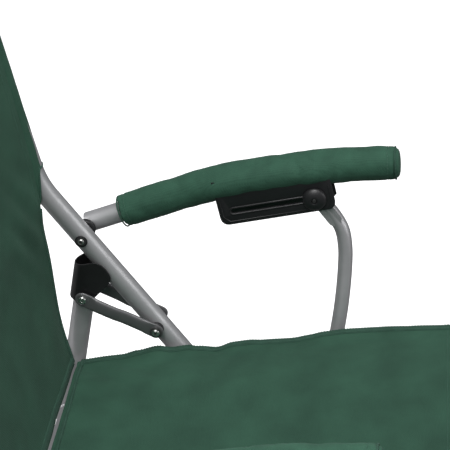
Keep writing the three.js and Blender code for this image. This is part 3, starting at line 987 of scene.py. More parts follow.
@dataclass
class SaddleAndLinks:
    """Saddle bracket, the link pair and their bolts on each side."""

    finishes: Finishes
    hardware: Hardware
    link_half: float = 8.7
    inner_x: float = 229.4
    outer_x: float = 270.6
    channel_r: float = 15.9
    web_depth: float = 1.08
    sheet: float = 1.7
    cheek: tuple[Pair, ...] = ((-8.0, 3.0), (-6.5, 6.5), (-3.0, 9.5), (0.0, 12.0), (6.0, 16.5),
                               (12.0, 21.5), (17.0, 26.0), (21.5, 28.5), (25.0, 28.5), (29.0, 26.5),
                               (35.0, 21.5), (40.0, 16.0), (44.0, 10.0), (46.0, 5.0))
    rivet: tuple[Pair, ...] = ((3.4, 0), (3.5, 0.3), (3.5, 5.6), (4.7, 5.7), (4.8, 6.6), (4.4, 7.6),
                               (3.4, 8.0), (2.2, 8.05), (1.9, 7.2), (0.3, 7.1))
    rim: tuple[Pair, ...] = ((5.6, 0.2), (5.9, 0.55), (6.9, 0.75), (7.5, 0.6), (7.6, 0.2))

    def _link(self, name: str, side: Side, centre: float, facing: float, body: str,
              node: str) -> None:
        """Flattened tube link: flat round ends, a fuller middle and a joggle.

        Args:
            name: piece name.
            side: which side of the chair.
            centre: middle of its thickness across the chair.
            facing: +1 when its outer face looks away from the centre plane.
            body: body that it rides on.
            node: frame piece that it replaces.
        """
        start, end = Vector(PLAN.link_pin), Vector(PLAN.saddle_pin)
        run = (end - start).normalized()
        lift = Vector((-run.y, run.x))
        length = (end - start).length
        rings = []
        stations = [-8.65, -8.0, -6.5, -4.2, -2.0, 1.0, 5.0, 8.5, 11.5, 15.0, 22.0, 32.0, 42.0]
        stations += [length - s for s in reversed(stations)]
        for s in stations:
            over = max(-s, s - length, 0.0)
            half = math.sqrt(max(self.link_half ** 2 - over ** 2, 0.4))
            full = ease(s, 9, 17) * (1 - ease(s, length - 17, length - 9))
            half -= 0.35 * full
            thick = 1.5 + 1.5 * full
            shift = 0.9 * facing * (2 * ease(s, length * 0.42, length * 0.58) - 1) * full
            ring = []
            for k in range(24):
                turn = 2 * math.pi * k / 24
                power = 0.3 + 0.42 * full
                cx, cy = math.cos(turn), math.sin(turn)
                wide = half * math.copysign(abs(cx) ** (0.42 + 0.3 * full), cx)
                deep = thick * math.copysign(abs(cy) ** power, cy)
                spot = start + run * s + lift * wide
                ring.append(at(side.value * (centre + shift + deep), spot.x, spot.y))
            rings.append(ring)
        piece = loft(name, rings)
        hold(piece, body, Slot.DARK, self.finishes.dark, node, smooth_at=55)

    def _channel(self, name: str, side: Side) -> bpy.types.Object:
        """Sheet channel bent round the stay's rear, with two cheeks that the links turn on.

        Args:
            name: piece name.
            side: which side of the chair.

        Returns:
            The new piece.
        """
        pin, lean = PLAN.saddle_pin, math.radians(PLAN.stay_up)
        run = Vector((math.cos(lean), math.sin(lean)))
        ahead = Vector((run.y, -run.x))
        rows = []
        for height, front in self.cheek:
            middle = Vector(pin) + run * height
            slope = run * 0.5 * max(0.0, height / 48)
            row = []
            for k in range(9):
                reach = front * (1 - k / 8)
                row.append((self.channel_r, reach))
            for k in range(1, 20):
                turn = math.pi * k / 20
                row.append((self.channel_r * math.cos(turn),
                            -self.channel_r * math.sin(turn) * self.web_depth))
            for k in range(9):
                row.append((-self.channel_r, front * k / 8))
            rows.append([at(side.value * (PLAN.outer_x - x),
                            *(middle + ahead * y + slope * y)) for x, y in row])
        piece = loft(name, rows, closed=False)
        thicken(piece, self.sheet)
        round_edges(piece, 0.45, 2, 50)
        smooth(piece, 50)
        return piece

    def side(self, side: Side) -> None:
        """Everything of one side."""
        w, s = side.word, side.value
        piece = self._channel(f"saddle_{w}", side)
        hold(piece, "stay_frame", Slot.PLASTIC, self.finishes.saddle, f"saddle_bracket_{w}")
        body = f"links_{w}"
        for layer, centre, facing in (("inner", self.inner_x, -1.0), ("outer", self.outer_x, 1.0)):
            self._link(f"link_bar_{layer}_{w}", side, centre, facing, body, f"link_{layer}_{w}")
            start = at(s * (centre - facing * 3.9), *PLAN.saddle_pin)
            rivet = turned(f"rivet_{layer}_{w}", start, s * facing, self.rivet)
            hold(rivet, body, Slot.ZINC, self.finishes.zinc, f"link_rivet_{layer}_{w}",
                 smooth_at=50)
            for end, pin in (("saddle", PLAN.saddle_pin), ("tube", PLAN.link_pin)):
                start = at(s * (centre + facing * 1.2), *pin)
                rim = turned(f"link_rim_{layer}_{end}_{w}", start, s * facing, self.rim, 36)
                hold(rim, body, Slot.DARK, self.finishes.dark, smooth_at=60)
        hw = self.hardware
        hw.bolt(f"pivot_link_{w}", PLAN.link_pin, side, 223.4, 276.6, 6.6, "front_frame",
                f"link_bolt_{w}")
        hw.washer(f"spacer_link_{w}", PLAN.link_pin, side, 231.9, 237.1, 8.5, "front_frame",
                  f"link_spacer_{w}")
        hw.bolt(f"pivot_scissor_{w}", PLAN.scissor, side, 201.6, 266.4, 7, "front_frame",
                f"scissor_bolt_{w}")
        hw.washer(f"spacer_scissor_{w}", PLAN.scissor, side, 230.9, 237.1, 9, "front_frame",
                  f"scissor_spacer_{w}")
        hw.bolt(f"pivot_stay_{w}", PLAN.rear_foot, side, 201.6, 266.4, 7, "rear_frame",
                f"stay_foot_bolt_{w}")


@dataclass
class ArmRest:
    """Arm tube, padded sleeve, slotted bracket, knob and support of each side."""

    finishes: Finishes
    hardware: Hardware
    path: tuple[Pair, ...] = ((-201.2, 567.8), (-162, 586), (-106, 612.5), (-38, 641.5), (52, 666),
                              (100, 675), (146, 681.5))
    arm_r: float = 12.0
    pad_r: float = 19.6
    pad_start: float = 0.125
    cover_back: float = 110.0
    cover_front: float = -16.0
    swell_most: float = 1.6
    face_x: float = 261.9
    knob_x: float = 261.4
    guard_x: float = 284.3
    tongue_x: float = 267.9
    foot_x: float = 243.0
    head_x: float = 274.6
    head: Pair = (82.5, 613.0)
    support_path: tuple[Pair, ...] = ((94.9, 428.8), (96.4, 442.8), (99.5, 470), (101.8, 500),
                                      (102.6, 528), (102.2, 553), (100.6, 573), (95.5, 594),
                                      (84.5, 611.5), (73, 624.5))

    def arm(self, side: Side) -> None:
        """The bent arm tube."""
        w, s = side.word, side.value
        line = [at(s * PLAN.arm_x, *p) for p in spline(self.path, 60)]
        piece = sweep(f"arm_bar_{w}", line, self.arm_r, 1.5)
        round_edges(piece, 0.35, 2, 60)
        hold(piece, f"arm_{w}", Slot.STEEL, self.finishes.steel, f"arm_tube_{w}", smooth_at=50)
        hw = self.hardware
        hw.bolt(f"pivot_arm_{w}", PLAN.arm_pin, side, 233.7, 297.8, 5.4, "front_frame",
                f"arm_pivot_bolt_{w}")
        ring = turned(f"washer_arm_{w}", at(s * 236.0, *PLAN.arm_pin), s,
                      [(3.6, 0), (6.9, 0), (7.4, 0.35), (7.4, 0.9), (6.9, 1.2), (3.6, 1.2)])
        hold(ring, "front_frame", Slot.PLASTIC, self.finishes.plastic, smooth_at=50)
        hw.washer(f"spacer_arm_{w}", PLAN.arm_pin, side, 262.9, 269.6, 12, "front_frame",
                  f"arm_spacer_{w}")

    def _pad_point(self, side: Side, spot: Pair, normal: Vector, turn: float,
                   radius: float) -> Vector:
        """Point on the pad; turn 0 is straight up and grows towards the chair's middle."""
        out = radius * math.cos(turn)
        inward = radius * math.sin(turn)
        if inward > 0:
            slot = math.radians(PLAN.slot_rise)
            ahead, up = PLAN.knob[0] - spot[0], PLAN.knob[1] - spot[1]
            behind = ahead * math.cos(slot) + up * math.sin(slot)
            over = ease(behind, self.cover_front - 26, self.cover_front + 6) * (
                1 - ease(behind, self.cover_back - 8, self.cover_back + 34))
            inward *= 1 + 0.26 * over * (1 - 0.25 * max(0.0, out / radius))
        return at(side.value * (PLAN.arm_x - inward), spot[0] + normal.x * out,
                  spot[1] + normal.y * out)

    def _pad_ring(self, side: Side, spot: Pair, normal: Vector, radius: float,
                  count: int) -> list[Vector]:
        """Closed ring of points round the pad; the last point is the first again."""
        return [self._pad_point(side, spot, normal, 2 * math.pi * k / count, radius)
                for k in range(count + 1)]

    def pad(self, side: Side) -> None:
        """The padded sleeve: swollen by a short cloth run, then creased and hemmed."""
        w = side.word
        whole = spline(self.path, 121)
        first = int(120 * self.pad_start)
        tip = Vector(whole[-1])
        ahead = (tip - Vector(whole[-3])).normalized()
        line = whole[first:] + [tuple(tip + ahead * 2.5)]
        normal = normals_2d(line)
        rings = []
        total = len(line) - 1
        for i in range(0, total + 1, 2):
            part = i / total
            swell = 1 + 0.008 * math.sin(part * 19) + 0.006 * math.sin(part * 47 + 1)
            near_end = min(i, total - i)
            radius = self.pad_r * swell * (0.985 + 0.015 * ease(near_end, 0, 5))
            rings.append(self._pad_ring(side, line[i], normal[i], radius, 28)[:-1])
        piece = loft(f"arm_sleeve_{w}", rings)
        remesh = piece.modifiers.new("cells", "REMESH")
        remesh.mode = "VOXEL"
        remesh.voxel_size = 4.0 * MM
        apply_all(piece)
        rest = [v.co.copy() for v in piece.data.vertices]
        self._swell(piece)
        for vertex, home in zip(piece.data.vertices, rest):
            move = vertex.co - home
            if move.length > self.swell_most * MM:
                vertex.co = home + move.normalized() * self.swell_most * MM
        finer = piece.modifiers.new("finer", "SUBSURF")
        finer.levels = finer.render_levels = 1
        apply_all(piece)
        self._crease(piece, side, line, normal)
        hold(piece, f"arm_{w}", Slot.PAD, self.finishes.pad, f"arm_pad_{w}", smooth_at=70)
        self._hems(piece, side, line, normal)

    @staticmethod
    def _swell(piece: bpy.types.Object) -> None:
        """Run the cloth briefly with pressure and no gravity, and keep its shape."""
        scene = bpy.context.scene
        cloth = piece.modifiers.new("padding", "CLOTH")
        settings = cloth.settings
        settings.quality = 5
        settings.mass = 0.15
        settings.use_pressure = True
        settings.uniform_pressure_force = 4.0
        settings.tension_stiffness = 12
        settings.compression_stiffness = 12
        settings.bending_stiffness = 0.4
        settings.effector_weights.gravity = 0
        cloth.point_cache.frame_start = 1
        cloth.point_cache.frame_end = 20
        for frame in range(1, 21):
            scene.frame_set(frame)
        apply_all(piece)
        scene.frame_set(1)

    def _crease(self, piece: bpy.types.Object, side: Side, line: Sequence[Pair],
                normal: Sequence[Vector]) -> None:
        """Diagonal creases, the hollow beside the hems and the opening over the bracket.

        Args:
            piece: the swollen sleeve.
            side: which side of the chair.
            line: centre line of the sleeve in the side view.
            normal: normals of that line.
        """
        total = len(line) - 1
        for vertex in piece.data.vertices:
            x = vertex.co.x / MM * side.value
            ahead = ORIGIN_AHEAD - vertex.co.y / MM
            up = vertex.co.z / MM
            gaps = [(p[0] - ahead) ** 2 + (p[1] - up) ** 2 for p in line]
            best = gaps.index(min(gaps))
            centre, out = line[best], normal[best]
            part = best / total
            rise = (ahead - centre[0]) * out.x + (up - centre[1]) * out.y
            inward = PLAN.arm_x - x
            radius = math.hypot(rise, inward)
            if radius < 5:
                continue
            turn = math.atan2(inward, rise)
            push = 0.0
            for where, slant, width, depth in ((0.62, 0.05, 0.016, 1.0), (0.67, 0.07, 0.014, 0.85),
                                               (0.72, 0.05, 0.018, 0.75), (0.36, -0.03, 0.02, 0.5),
                                               (0.22, 0.03, 0.015, 0.45), (0.86, -0.04, 0.02, 0.5)):
                offset = (part - where - slant * math.sin(turn)) / width
                push -= depth * math.exp(-offset * offset) * (0.55 + 0.45 * math.sin(turn))
            push += 0.55 * noise.noise(Vector((part * 22, turn * 1.6, side.value * 3.1)))
            for hem in (0.022, 0.972):
                push -= 0.8 * math.exp(-((part - hem) / 0.008) ** 2)
            room = 21.5 - radius if inward < 6 else 25.5 - radius
            push = min(push, room)
            scale = (radius + push) / radius
            more = rise * (scale - 1)
            vertex.co = at(side.value * (PLAN.arm_x - inward * scale), ahead + out.x * more,
                           up + out.y * more)

    def _hems(self, sleeve: bpy.types.Object, side: Side, line: Sequence[Pair],
              normal: Sequence[Vector]) -> None:
        """Rolled hems, stitch rows and the gathered plug in the front end.

        Args:
            sleeve: the finished sleeve.
            side: which side of the chair.
            line: centre line of the sleeve in the side view.
            normal: normals of that line.
        """
        w = side.word
        total = len(line) - 1
        for label, index, radius, thick in (("rear", 0, 18.3, 0.9), ("front", total, 18.2, 1.1)):
            loop = self._pad_ring(side, line[index], normal[index], radius, 40)
            roll = sweep(f"sleeve_hem_{label}_{w}", loop, thick, 0, 3)
            hold(roll, f"arm_{w}", Slot.PAD, self.finishes.binding, smooth_at=70)
        for label, index in (("rear", 3), ("front", total - 3)):
            loop = self._pad_ring(side, line[index], normal[index], 20.0, 60)
            seam = stitches(f"sleeve_stitch_{label}_{w}", laid_on(sleeve, loop, 0.15), 3.6, 0.35)
            hold(seam, f"arm_{w}", Slot.PAD, self.finishes.thread)
        seam_line = [self._pad_point(side, line[i], normal[i], math.radians(198), 20.2)
                     for i in range(3, total - 2)]
        seam = stitches(f"sleeve_stitch_under_{w}", laid_on(sleeve, seam_line, 0.15), 4.4, 0.35)
        hold(seam, f"arm_{w}", Slot.PAD, self.finishes.thread)
        tip, run = Vector(line[-1]), (Vector(line[-1]) - Vector(line[-3])).normalized()
        rings = [
            self._pad_ring(side, tuple(tip + run * reach), normal[-1], radius, 32)[:-1]
            for reach, radius in ((-4, 16.8), (0, 17.0), (1.8, 16.6), (3.4, 15.4), (4.6, 13.2),
                                  (5.3, 10), (5.6, 6), (5.7, 1))
        ]
        plug = loft(f"sleeve_end_{w}", rings)
        hold(plug, f"arm_{w}", Slot.PAD, self.finishes.pad, smooth_at=70)

    def bracket(self, side: Side) -> None:
        """Slotted plate with a raised lip round its slot, an outer wall and a rib along its edge.
        """
        w, s = side.word, side.value
        node = f"slot_bracket_{w}"
        piece = softened(node, f"slot_plate_{w}", 0.7, 2, 40)
        hold(piece, f"arm_{w}", Slot.PLASTIC, self.finishes.plastic, node)
        outline: list[Vector] = []
        for back, base in ((0.0, -90.0), (95.0, 90.0)):
            for k in range(9):
                spot = along(PLAN.in_slot(back, 0), PLAN.slot_rise + base + 180 * k / 8, 4.1)
                outline.append(at(s * self.face_x, *spot))
        outline.append(outline[0])
        lip = sweep(f"slot_lip_{w}", outline, 1.15, 0, 3)
        hold(lip, f"arm_{w}", Slot.PLASTIC, self.finishes.plastic, smooth_at=60)
        guard = self._guard(f"slot_guard_{w}", s)
        hold(guard, f"arm_{w}", Slot.PLASTIC, self.finishes.plastic)
        edge: list[Vector] = []
        for back, rise in ((108, 14), (108, -6), (101, -13), (-12, -13), (-18, -7), (-18, 14)):
            edge.append(at(s * self.face_x, *PLAN.in_slot(back, rise)))
        rib = sweep(f"plate_rib_{w}", edge, 0.8, 0, 2)
        hold(rib, f"arm_{w}", Slot.PLASTIC, self.finishes.plastic, smooth_at=60)

    def _guard(self, name: str, sign: int) -> bpy.types.Object:
        """Outer wall of the bracket, beyond the head of the support."""
        rows = []
        for back in (112.0, 108.5, 100.0, 60.0, 20.0, -10.0, -18.5, -22.0):
            corner = 6.0 * max(0.0, (back - 100) / 12, (-10 - back) / 12) ** 2
            rises = (18, 8, 0, -8, -16.5 + corner)
            rows.append([at(sign * self.guard_x, *PLAN.in_slot(back, rise)) for rise in rises])
        piece = loft(name, rows, closed=False)
        thicken(piece, 1.6, sign)
        for vertex in piece.data.vertices:
            vertex.co.x = sign * max(vertex.co.x * sign, self.guard_x * MM)
        round_edges(piece, 0.4, 2, 50)
        smooth(piece, 50)
        return piece

    def knob(self, side: Side) -> None:
        """Domed knob with a hollow in its top and a screw."""
        w, s = side.word, side.value
        profile = [
            (5.4, -4.55), (5.4, -3.7), (2.2, -3.65), (2.2, 0.0), (12.6, 0.05), (13.4, 0.5),
            (13.7, 1.3), (13.7, 2.8), (13.3, 3.9), (12.3, 5.1), (10.6, 6.2), (8.4, 7.1), (6.0, 7.7),
            (4.2, 7.95), (3.5, 7.8), (3.2, 7.2), (3.1, 5.6), (0.3, 5.5),
        ]
        piece = turned(f"clamp_knob_{w}", at(s * self.knob_x, *PLAN.knob), -s, profile, 44)
        hold(piece, f"knob_{w}", Slot.PLASTIC, self.finishes.plastic, f"slide_knob_{w}",
             smooth_at=42)
        # Dark screw in the knob's top: its near-black colour is painted shade for the hollow of its
        # hexagon socket.
        screw = turned(f"knob_screw_{w}", at(s * self.knob_x, *PLAN.knob), -s,
                       [(2.6, 5.4), (2.7, 6.3), (2.3, 6.8), (1.2, 6.95), (1.0, 6.3), (0.2, 6.2)],
                       24)
        hold(screw, f"knob_{w}", Slot.DARK, self.finishes.recess, smooth_at=45)

    def support(self, side: Side) -> None:
        """Curved arm support with a flattened head."""
        w, s = side.word, side.value
        line = spline(self.support_path, 70)
        points = []
        for i, spot in enumerate(line):
            across = self.foot_x + (self.head_x - self.foot_x) * ease(i / 69, 0.0625, 0.9375)
            points.append(at(s * across, *spot))
        piece = sweep(f"support_tube_{w}", points, 8.5, 0)
        round_edges(piece, 1.2, 3, 60)
        hold(piece, f"support_{w}", Slot.STEEL, self.finishes.steel, f"arm_support_{w}",
             smooth_at=50)
        turn = math.degrees(math.atan2(self.head[1] - PLAN.knob[1], self.head[0] - PLAN.knob[0]))
        tongue = self._flat_bar(f"support_tongue_{w}", PLAN.knob, along(PLAN.knob, turn, 38),
                                s * self.tongue_x, 7.8, 1.45)
        hold(tongue, f"support_{w}", Slot.STEEL, self.finishes.steel)
        self.hardware.bolt(f"pivot_support_{w}", PLAN.support_pin, side, 201.6, 255.4, 6,
                           "rear_frame", f"support_bolt_{w}")

    @staticmethod
    def _flat_bar(name: str, start: Pair, end: Pair, across: float, half: float,
                  thick: float) -> bpy.types.Object:
        """Flat strip with round ends, in a plane of the side view."""
        a, b = Vector(start), Vector(end)
        run = (b - a).normalized()
        lift = Vector((-run.y, run.x))
        length = (b - a).length
        rings = []
        stations = [-half + 0.05, -half * 0.92, -half * 0.75, -half * 0.5, -half * 0.2, half * 0.4,
                    length * 0.5]
        stations += [length - s for s in reversed(stations[:-1])]
        for s in stations:
            over = max(-s, s - length, 0.0)
            wide = math.sqrt(max(half ** 2 - over ** 2, 0.3))
            ring = []
            for side_step, deep in ((1, 1), (0.94, 1.0), (-0.94, 1.0), (-1, 1), (-1, -1),
                                    (-0.94, -1), (0.94, -1), (1, -1)):
                spot = a + run * s + lift * wide * side_step
                ring.append(at(across + thick * deep, spot.x, spot.y))
            rings.append(ring)
        piece = loft(name, rings)
        smooth(piece, 40)
        return piece


@dataclass
class Sling:
    """Seat and back fabric, with pockets, hems and stitching."""

    finishes: Finishes
    seat_half: float = 231.0
    back_half: float = 230.0
    back_flare: float = 7.0
    back_wide: float = 470.0
    pocket_flat: Pair = (0.106, 0.358)
    free_edge_top: float = 612.0
    thick: float = 1.5
    columns: int = 96
    seat_line: tuple[Pair, ...] = ((-203, 404.5), (-130, 421.0), (-59, 438.6), (20, 458.2),
                                   (96, 476.9), (130, 483.6), (180, 493.4), (228, 502.8),
                                   (256, 508.4), (270, 508.9), (281, 503.6), (285, 493), (282, 482))
    back_line: tuple[Pair, ...] = ((-208, 401), (-218.5, 437), (-228.5, 489), (-235, 520),
                                   (-240.5, 555), (-244.5, 590), (-249, 620), (-258, 660),
                                   (-279, 740), (-310, 850), (-346, 972), (-349, 982))
    hem_lift: tuple[Pair, ...] = ((-210, 0), (-150, 3), (-130, 6.5), (-106, 10), (-88, 5.5),
                                  (-71, 6), (-59, 3), (-37, -1), (-18, 3.5), (0, 4), (17, 2),
                                  (52, 0), (69, 1.5), (86, 3.5), (120, 4.5), (154, 4.5), (189, 3),
                                  (223, 1.5), (250, 0), (300, 0))

    def _seat_point(self, across: float, part: float, line: Sequence[Pair],
                    normal: Sequence[Vector], lift: float = 0.0) -> Vector:
        """Point of the seat cloth.

        Args:
            across: from -1 to 1 over its width.
            part: from 0 at the rear to 1 at the front.
            line: dense side-view profile.
            normal: normals of that profile.
            lift: distance above the cloth, in millimetres.

        Returns:
            The point in the row frame.
        """
        ahead, up, out = on_line(line, normal, part)
        inner = min(abs(across) * self.seat_half / 198, 1)
        run = math.sin(math.pi * min(1, part * 1.12))
        sag = 24 * math.cos(inner * math.pi / 2) ** 2 * run ** 0.7
        edge = ease(abs(across), 0.9, 0.985)
        wave = edge * self._hem_wave(ahead)
        wave -= 1.3 * math.exp(-((abs(across) - 0.962) / 0.007) ** 2) * (1 - ease(part, 0.8, 0.9))
        pull = noise.noise(Vector((across * 2.6, part * 5.0, 0.7))) * 1.5 + noise.noise(
            Vector((across * 7.0 + part * 3, part * 11.0 - across * 4, 4.1))) * 0.6
        pull *= (1 - ease(part, 0.82, 0.92)) * (1 - 0.55 * edge)
        radial = math.exp(-((abs(across) - 0.86) ** 2) / 0.01)
        radial *= math.exp(-((part - 0.1) ** 2) / 0.02)
        tuck = 1.4 * radial * math.sin(part * 60 + across * 30)
        height = -sag + wave + pull + tuck + lift
        return at(across * self.seat_half, ahead + out.x * height, up + out.y * height)

    def _hem_wave(self, ahead: float) -> float:
        """Height of the side hem over the seat's line, in millimetres."""
        for (a, low), (b, high) in zip(self.hem_lift, self.hem_lift[1:]):
            if a <= ahead <= b:
                return low + (high - low) * ease(ahead, a, b)
        return 0.0

    def seat(self) -> None:
        """Seat cloth with bound side hems, rear seam and front roll."""
        line = spline(self.seat_line, 160)
        normal = normals_2d(line)
        piece = self._panel("seat_cloth", self._seat_point, 120, line, normal)
        hold(piece, CROSSING, Slot.CLOTH, self.finishes.cloth, "seat_panel", smooth_at=60)

        def edge(across: float, lift: float) -> list[Vector]:
            """Line from the rear to the front at a share of the half width."""
            return [self._seat_point(across, p / 150, line, normal, lift) for p in range(2, 149)]

        for side in Side:
            s = side.value
            hem = self._binding(f"seat_hem_{side.word}", edge(s * 0.970, 0.6), edge(s * 1.010, 0.2),
                                1.7)
            hold(hem, CROSSING, Slot.CLOTH, self.finishes.binding)
            for place, share in (("in", 0.976), ("out", 1.003)):
                seam = stitches(f"seat_stitch_{place}_{side.word}", edge(s * share, 2.15), 3.4,
                                0.38)
                hold(seam, CROSSING, Slot.CLOTH, self.finishes.thread)
        rear = [self._seat_point(-1 + 2 * k / 90, 0.012, line, normal, 1.2) for k in range(91)]
        roll = sweep("seat_rear_seam", rear, 2.0, 0, 3)
        hold(roll, CROSSING, Slot.CLOTH, self.finishes.binding)
        for shift in (0.845, 0.86):
            row = [self._seat_point(-0.97 + 1.94 * k / 140, shift, line, normal, 0.95)
                   for k in range(141)]
            seam = stitches(f"seat_front_stitch_{int(shift * 1000)}", row)
            hold(seam, CROSSING, Slot.CLOTH, self.finishes.thread)

    def _panel(self, name: str, point: Callable[..., Vector], rows: int, line: Sequence[Pair],
               normal: Sequence[Vector]) -> bpy.types.Object:
        """Sheet of cloth with its faces towards the sitter.

        Args:
            name: piece name.
            point: gives a point of the cloth from its shares across and along.
            rows: rows of faces along it.
            line: dense side-view profile.
            normal: normals of that profile.

        Returns:
            The new piece.
        """
        cols = self.columns
        grid = [[point(-1 + 2 * c / cols, r / rows, line, normal) for c in range(cols + 1)]
                for r in range(rows + 1)]
        piece = loft(name, grid, closed=False)
        self._face_up(piece)
        thicken(piece, self.thick, 0)
        return piece

    @staticmethod
    def _face_up(piece: bpy.types.Object) -> None:
        """Turn an open sheet so that its faces look up or forward."""
        total = Vector((0, 0, 0))
        for polygon in piece.data.polygons:
            total += polygon.normal * polygon.area
        if total.z - total.y < 0:
            only(piece)
            bpy.ops.object.mode_set(mode="EDIT")
            bpy.ops.mesh.select_all(action="SELECT")
            bpy.ops.mesh.flip_normals()
            bpy.ops.object.mode_set(mode="OBJECT")

    @staticmethod
    def _binding(name: str, inner: Sequence[Vector], outer: Sequence[Vector],
                 thick: float) -> bpy.types.Object:
        """Folded binding tape between two edge lines.

        Args:
            name: piece name.
            inner: its inner edge.
            outer: its outer edge.
            thick: half its thickness in millimetres.

        Returns:
            The new piece.
        """
        rings = []
        for i, (a, b) in enumerate(zip(inner, outer)):
            across = b - a
            nxt = inner[min(i + 1, len(inner) - 1)] - inner[max(i - 1, 0)]
            out = across.cross(nxt).normalized()
            middle, half = (a + b) / 2, across / 2
            ring = []
            for k in range(14):
                turn = 2 * math.pi * k / 14
                cx, cy = math.cos(turn), math.sin(turn)
                wide = math.copysign(abs(cx) ** 0.55, cx)
                deep = math.copysign(abs(cy) ** 0.75, cy) * thick * MM
                ring.append(middle + half * wide + out * deep)
            rings.append(ring)
        piece = loft(name, rings)
        smooth(piece, 60)
        return piece

    def _back_point(self, across: float, part: float, line: Sequence[Pair],
                    normal: Sequence[Vector], lift: float = 0.0) -> Vector:
        """Point of the back cloth; lift is towards the sitter.

        Args:
            across: from -1 to 1 over its width.
            part: from 0 at the bottom to 1 at the top.
            line: dense side-view profile of its edge.
            normal: normals of that profile.
            lift: distance ahead of the cloth, in millimetres.

        Returns:
            The point in the row frame.
        """
        ahead, up, out = on_line(line, normal, part)
        out = -out
        half = self.back_half + self.back_flare * ease(up, 600, 660)
        sag = 30 * math.cos(across * math.pi / 2) * min(1, part * 2.4)
        edge = ease(abs(across), 0.9, 1.0)
        free = 1 - ease(up, 590, 640)
        wave = edge * free * 1.4 * math.sin(part * 30 + across)
        pull = noise.noise(Vector((across * 2.4, part * 4.2, 9.7))) * 1.7 + noise.noise(
            Vector((across * 6.5 - part * 4, part * 9.0 + across * 3, 2.2))) * 0.7
        fan = math.exp(-((abs(across) - 0.8) ** 2) / 0.03) * math.exp(-((up - 615) / 60) ** 2)
        tuck = 1.8 * fan * math.sin((abs(across) * 0.6 + part * 1.3) * 55)
        height = -sag + wave + pull * (1 - 0.5 * edge) + tuck + lift
        return at(across * half, ahead + out.x * height, up + out.y * height)

    def back(self) -> None:
        """Back cloth with its hems, seams and the two post pockets."""
        line = spline(self.back_line, 160)
        normal = normals_2d(line)
        piece = self._panel("back_cloth", self._back_point, 130, line, normal)
        hold(piece, "front_frame", Slot.CLOTH, self.finishes.cloth, "back_panel", smooth_at=60)
        extras = []
        free = next(k for k in range(161) if line[min(k, 159)][1] > self.free_edge_top)

        def edge(across: float, first: int, last: int, lift: float = 0.0) -> list[Vector]:
            """Line up the cloth at a share of the half width."""
            return [self._back_point(across, k / 160, line, normal, lift)
                    for k in range(first, last)]

        def level(part: float) -> list[Vector]:
            """Line across the cloth at a share of its height."""
            return [self._back_point(-1 + 2 * k / 90, part, line, normal) for k in range(91)]

        for side in Side:
            s = side.value
            hem = self._binding(f"back_hem_{side.word}", edge(s * 0.985, 1, free),
                                edge(s * 1.012, 1, free), 1.9)
            hold(hem, "front_frame", Slot.CLOTH, self.finishes.binding)
            seam = stitches(f"back_stitch_{side.word}", edge(s * 0.982, 1, free, 1.35))
            hold(seam, "front_frame", Slot.CLOTH, self.finishes.thread)
            pocket_seam = stitches(f"pocket_stitch_{side.word}", edge(s * 0.955, free, 160, 0.95))
            hold(pocket_seam, "front_frame", Slot.CLOTH, self.finishes.thread)
            extras += [hem, seam, pocket_seam]
            self.pocket(side)
        for label, part in (("bottom", 0.012), ("top", 0.992)):
            hem = self._binding(f"back_hem_{label}", level(part - 0.008), level(part + 0.008), 1.9)
            hold(hem, "front_frame", Slot.CLOTH, self.finishes.binding)
            extras.append(hem)

    @staticmethod
    def _trail(part: float) -> float:
        """How far the pocket hangs back behind the post; it hugs the post higher up."""
        return 0.35 * (1 - ease(part, 0.05, 0.5))

    def pocket(self, side: Side) -> None:
        """Cloth pocket round the back post, looser at its open lower end."""
        w, s = side.word, side.value
        rings_out = []
        out = Vector((math.sin(math.radians(PLAN.post_up)), -math.cos(math.radians(PLAN.post_up))))
        for i in range(70):
            part = i / 69
            loose = 1 - ease(part, 0, 0.28)
            ring = []
            for k in range(36):
                turn = 2 * math.pi * k / 36
                front, inward = math.cos(turn), math.sin(turn)
                drop = 44 * loose * ease(inward - 0.45 * front, 0.1, 1.1)
                spot = along(PLAN.post_corner, PLAN.post_up, 22 + 348 * part - drop)
                place = Vector((part * 14, front * 1.4, inward * 1.4 + s))
                radius = 14.1 + 0.35 * noise.noise(place)
                radius += loose * (0.4 + 1.6 * max(0.0, inward))
                x = 250 - inward * (radius + 1.2 * max(0.0, inward))
                back = -5.5 - 2.0 * loose
                shift = front * radius + back * self._trail(part)
                ring.append(at(s * x, spot[0] + out.x * shift, spot[1] + out.y * shift))
            rings_out.append(ring)
        mesh_rows = [ring + [ring[0]] for ring in rings_out]
        piece = loft(f"post_pocket_{w}", mesh_rows, closed=False)
        thicken(piece, 1.2)
        hold(piece, "front_frame", Slot.CLOTH, self.finishes.cloth, f"back_sleeve_{w}",
             smooth_at=60)
        roll = sweep(f"pocket_hem_{w}", mesh_rows[0], 1.3, 0, 3)
        hold(roll, "front_frame", Slot.CLOTH, self.finishes.binding, smooth_at=60)


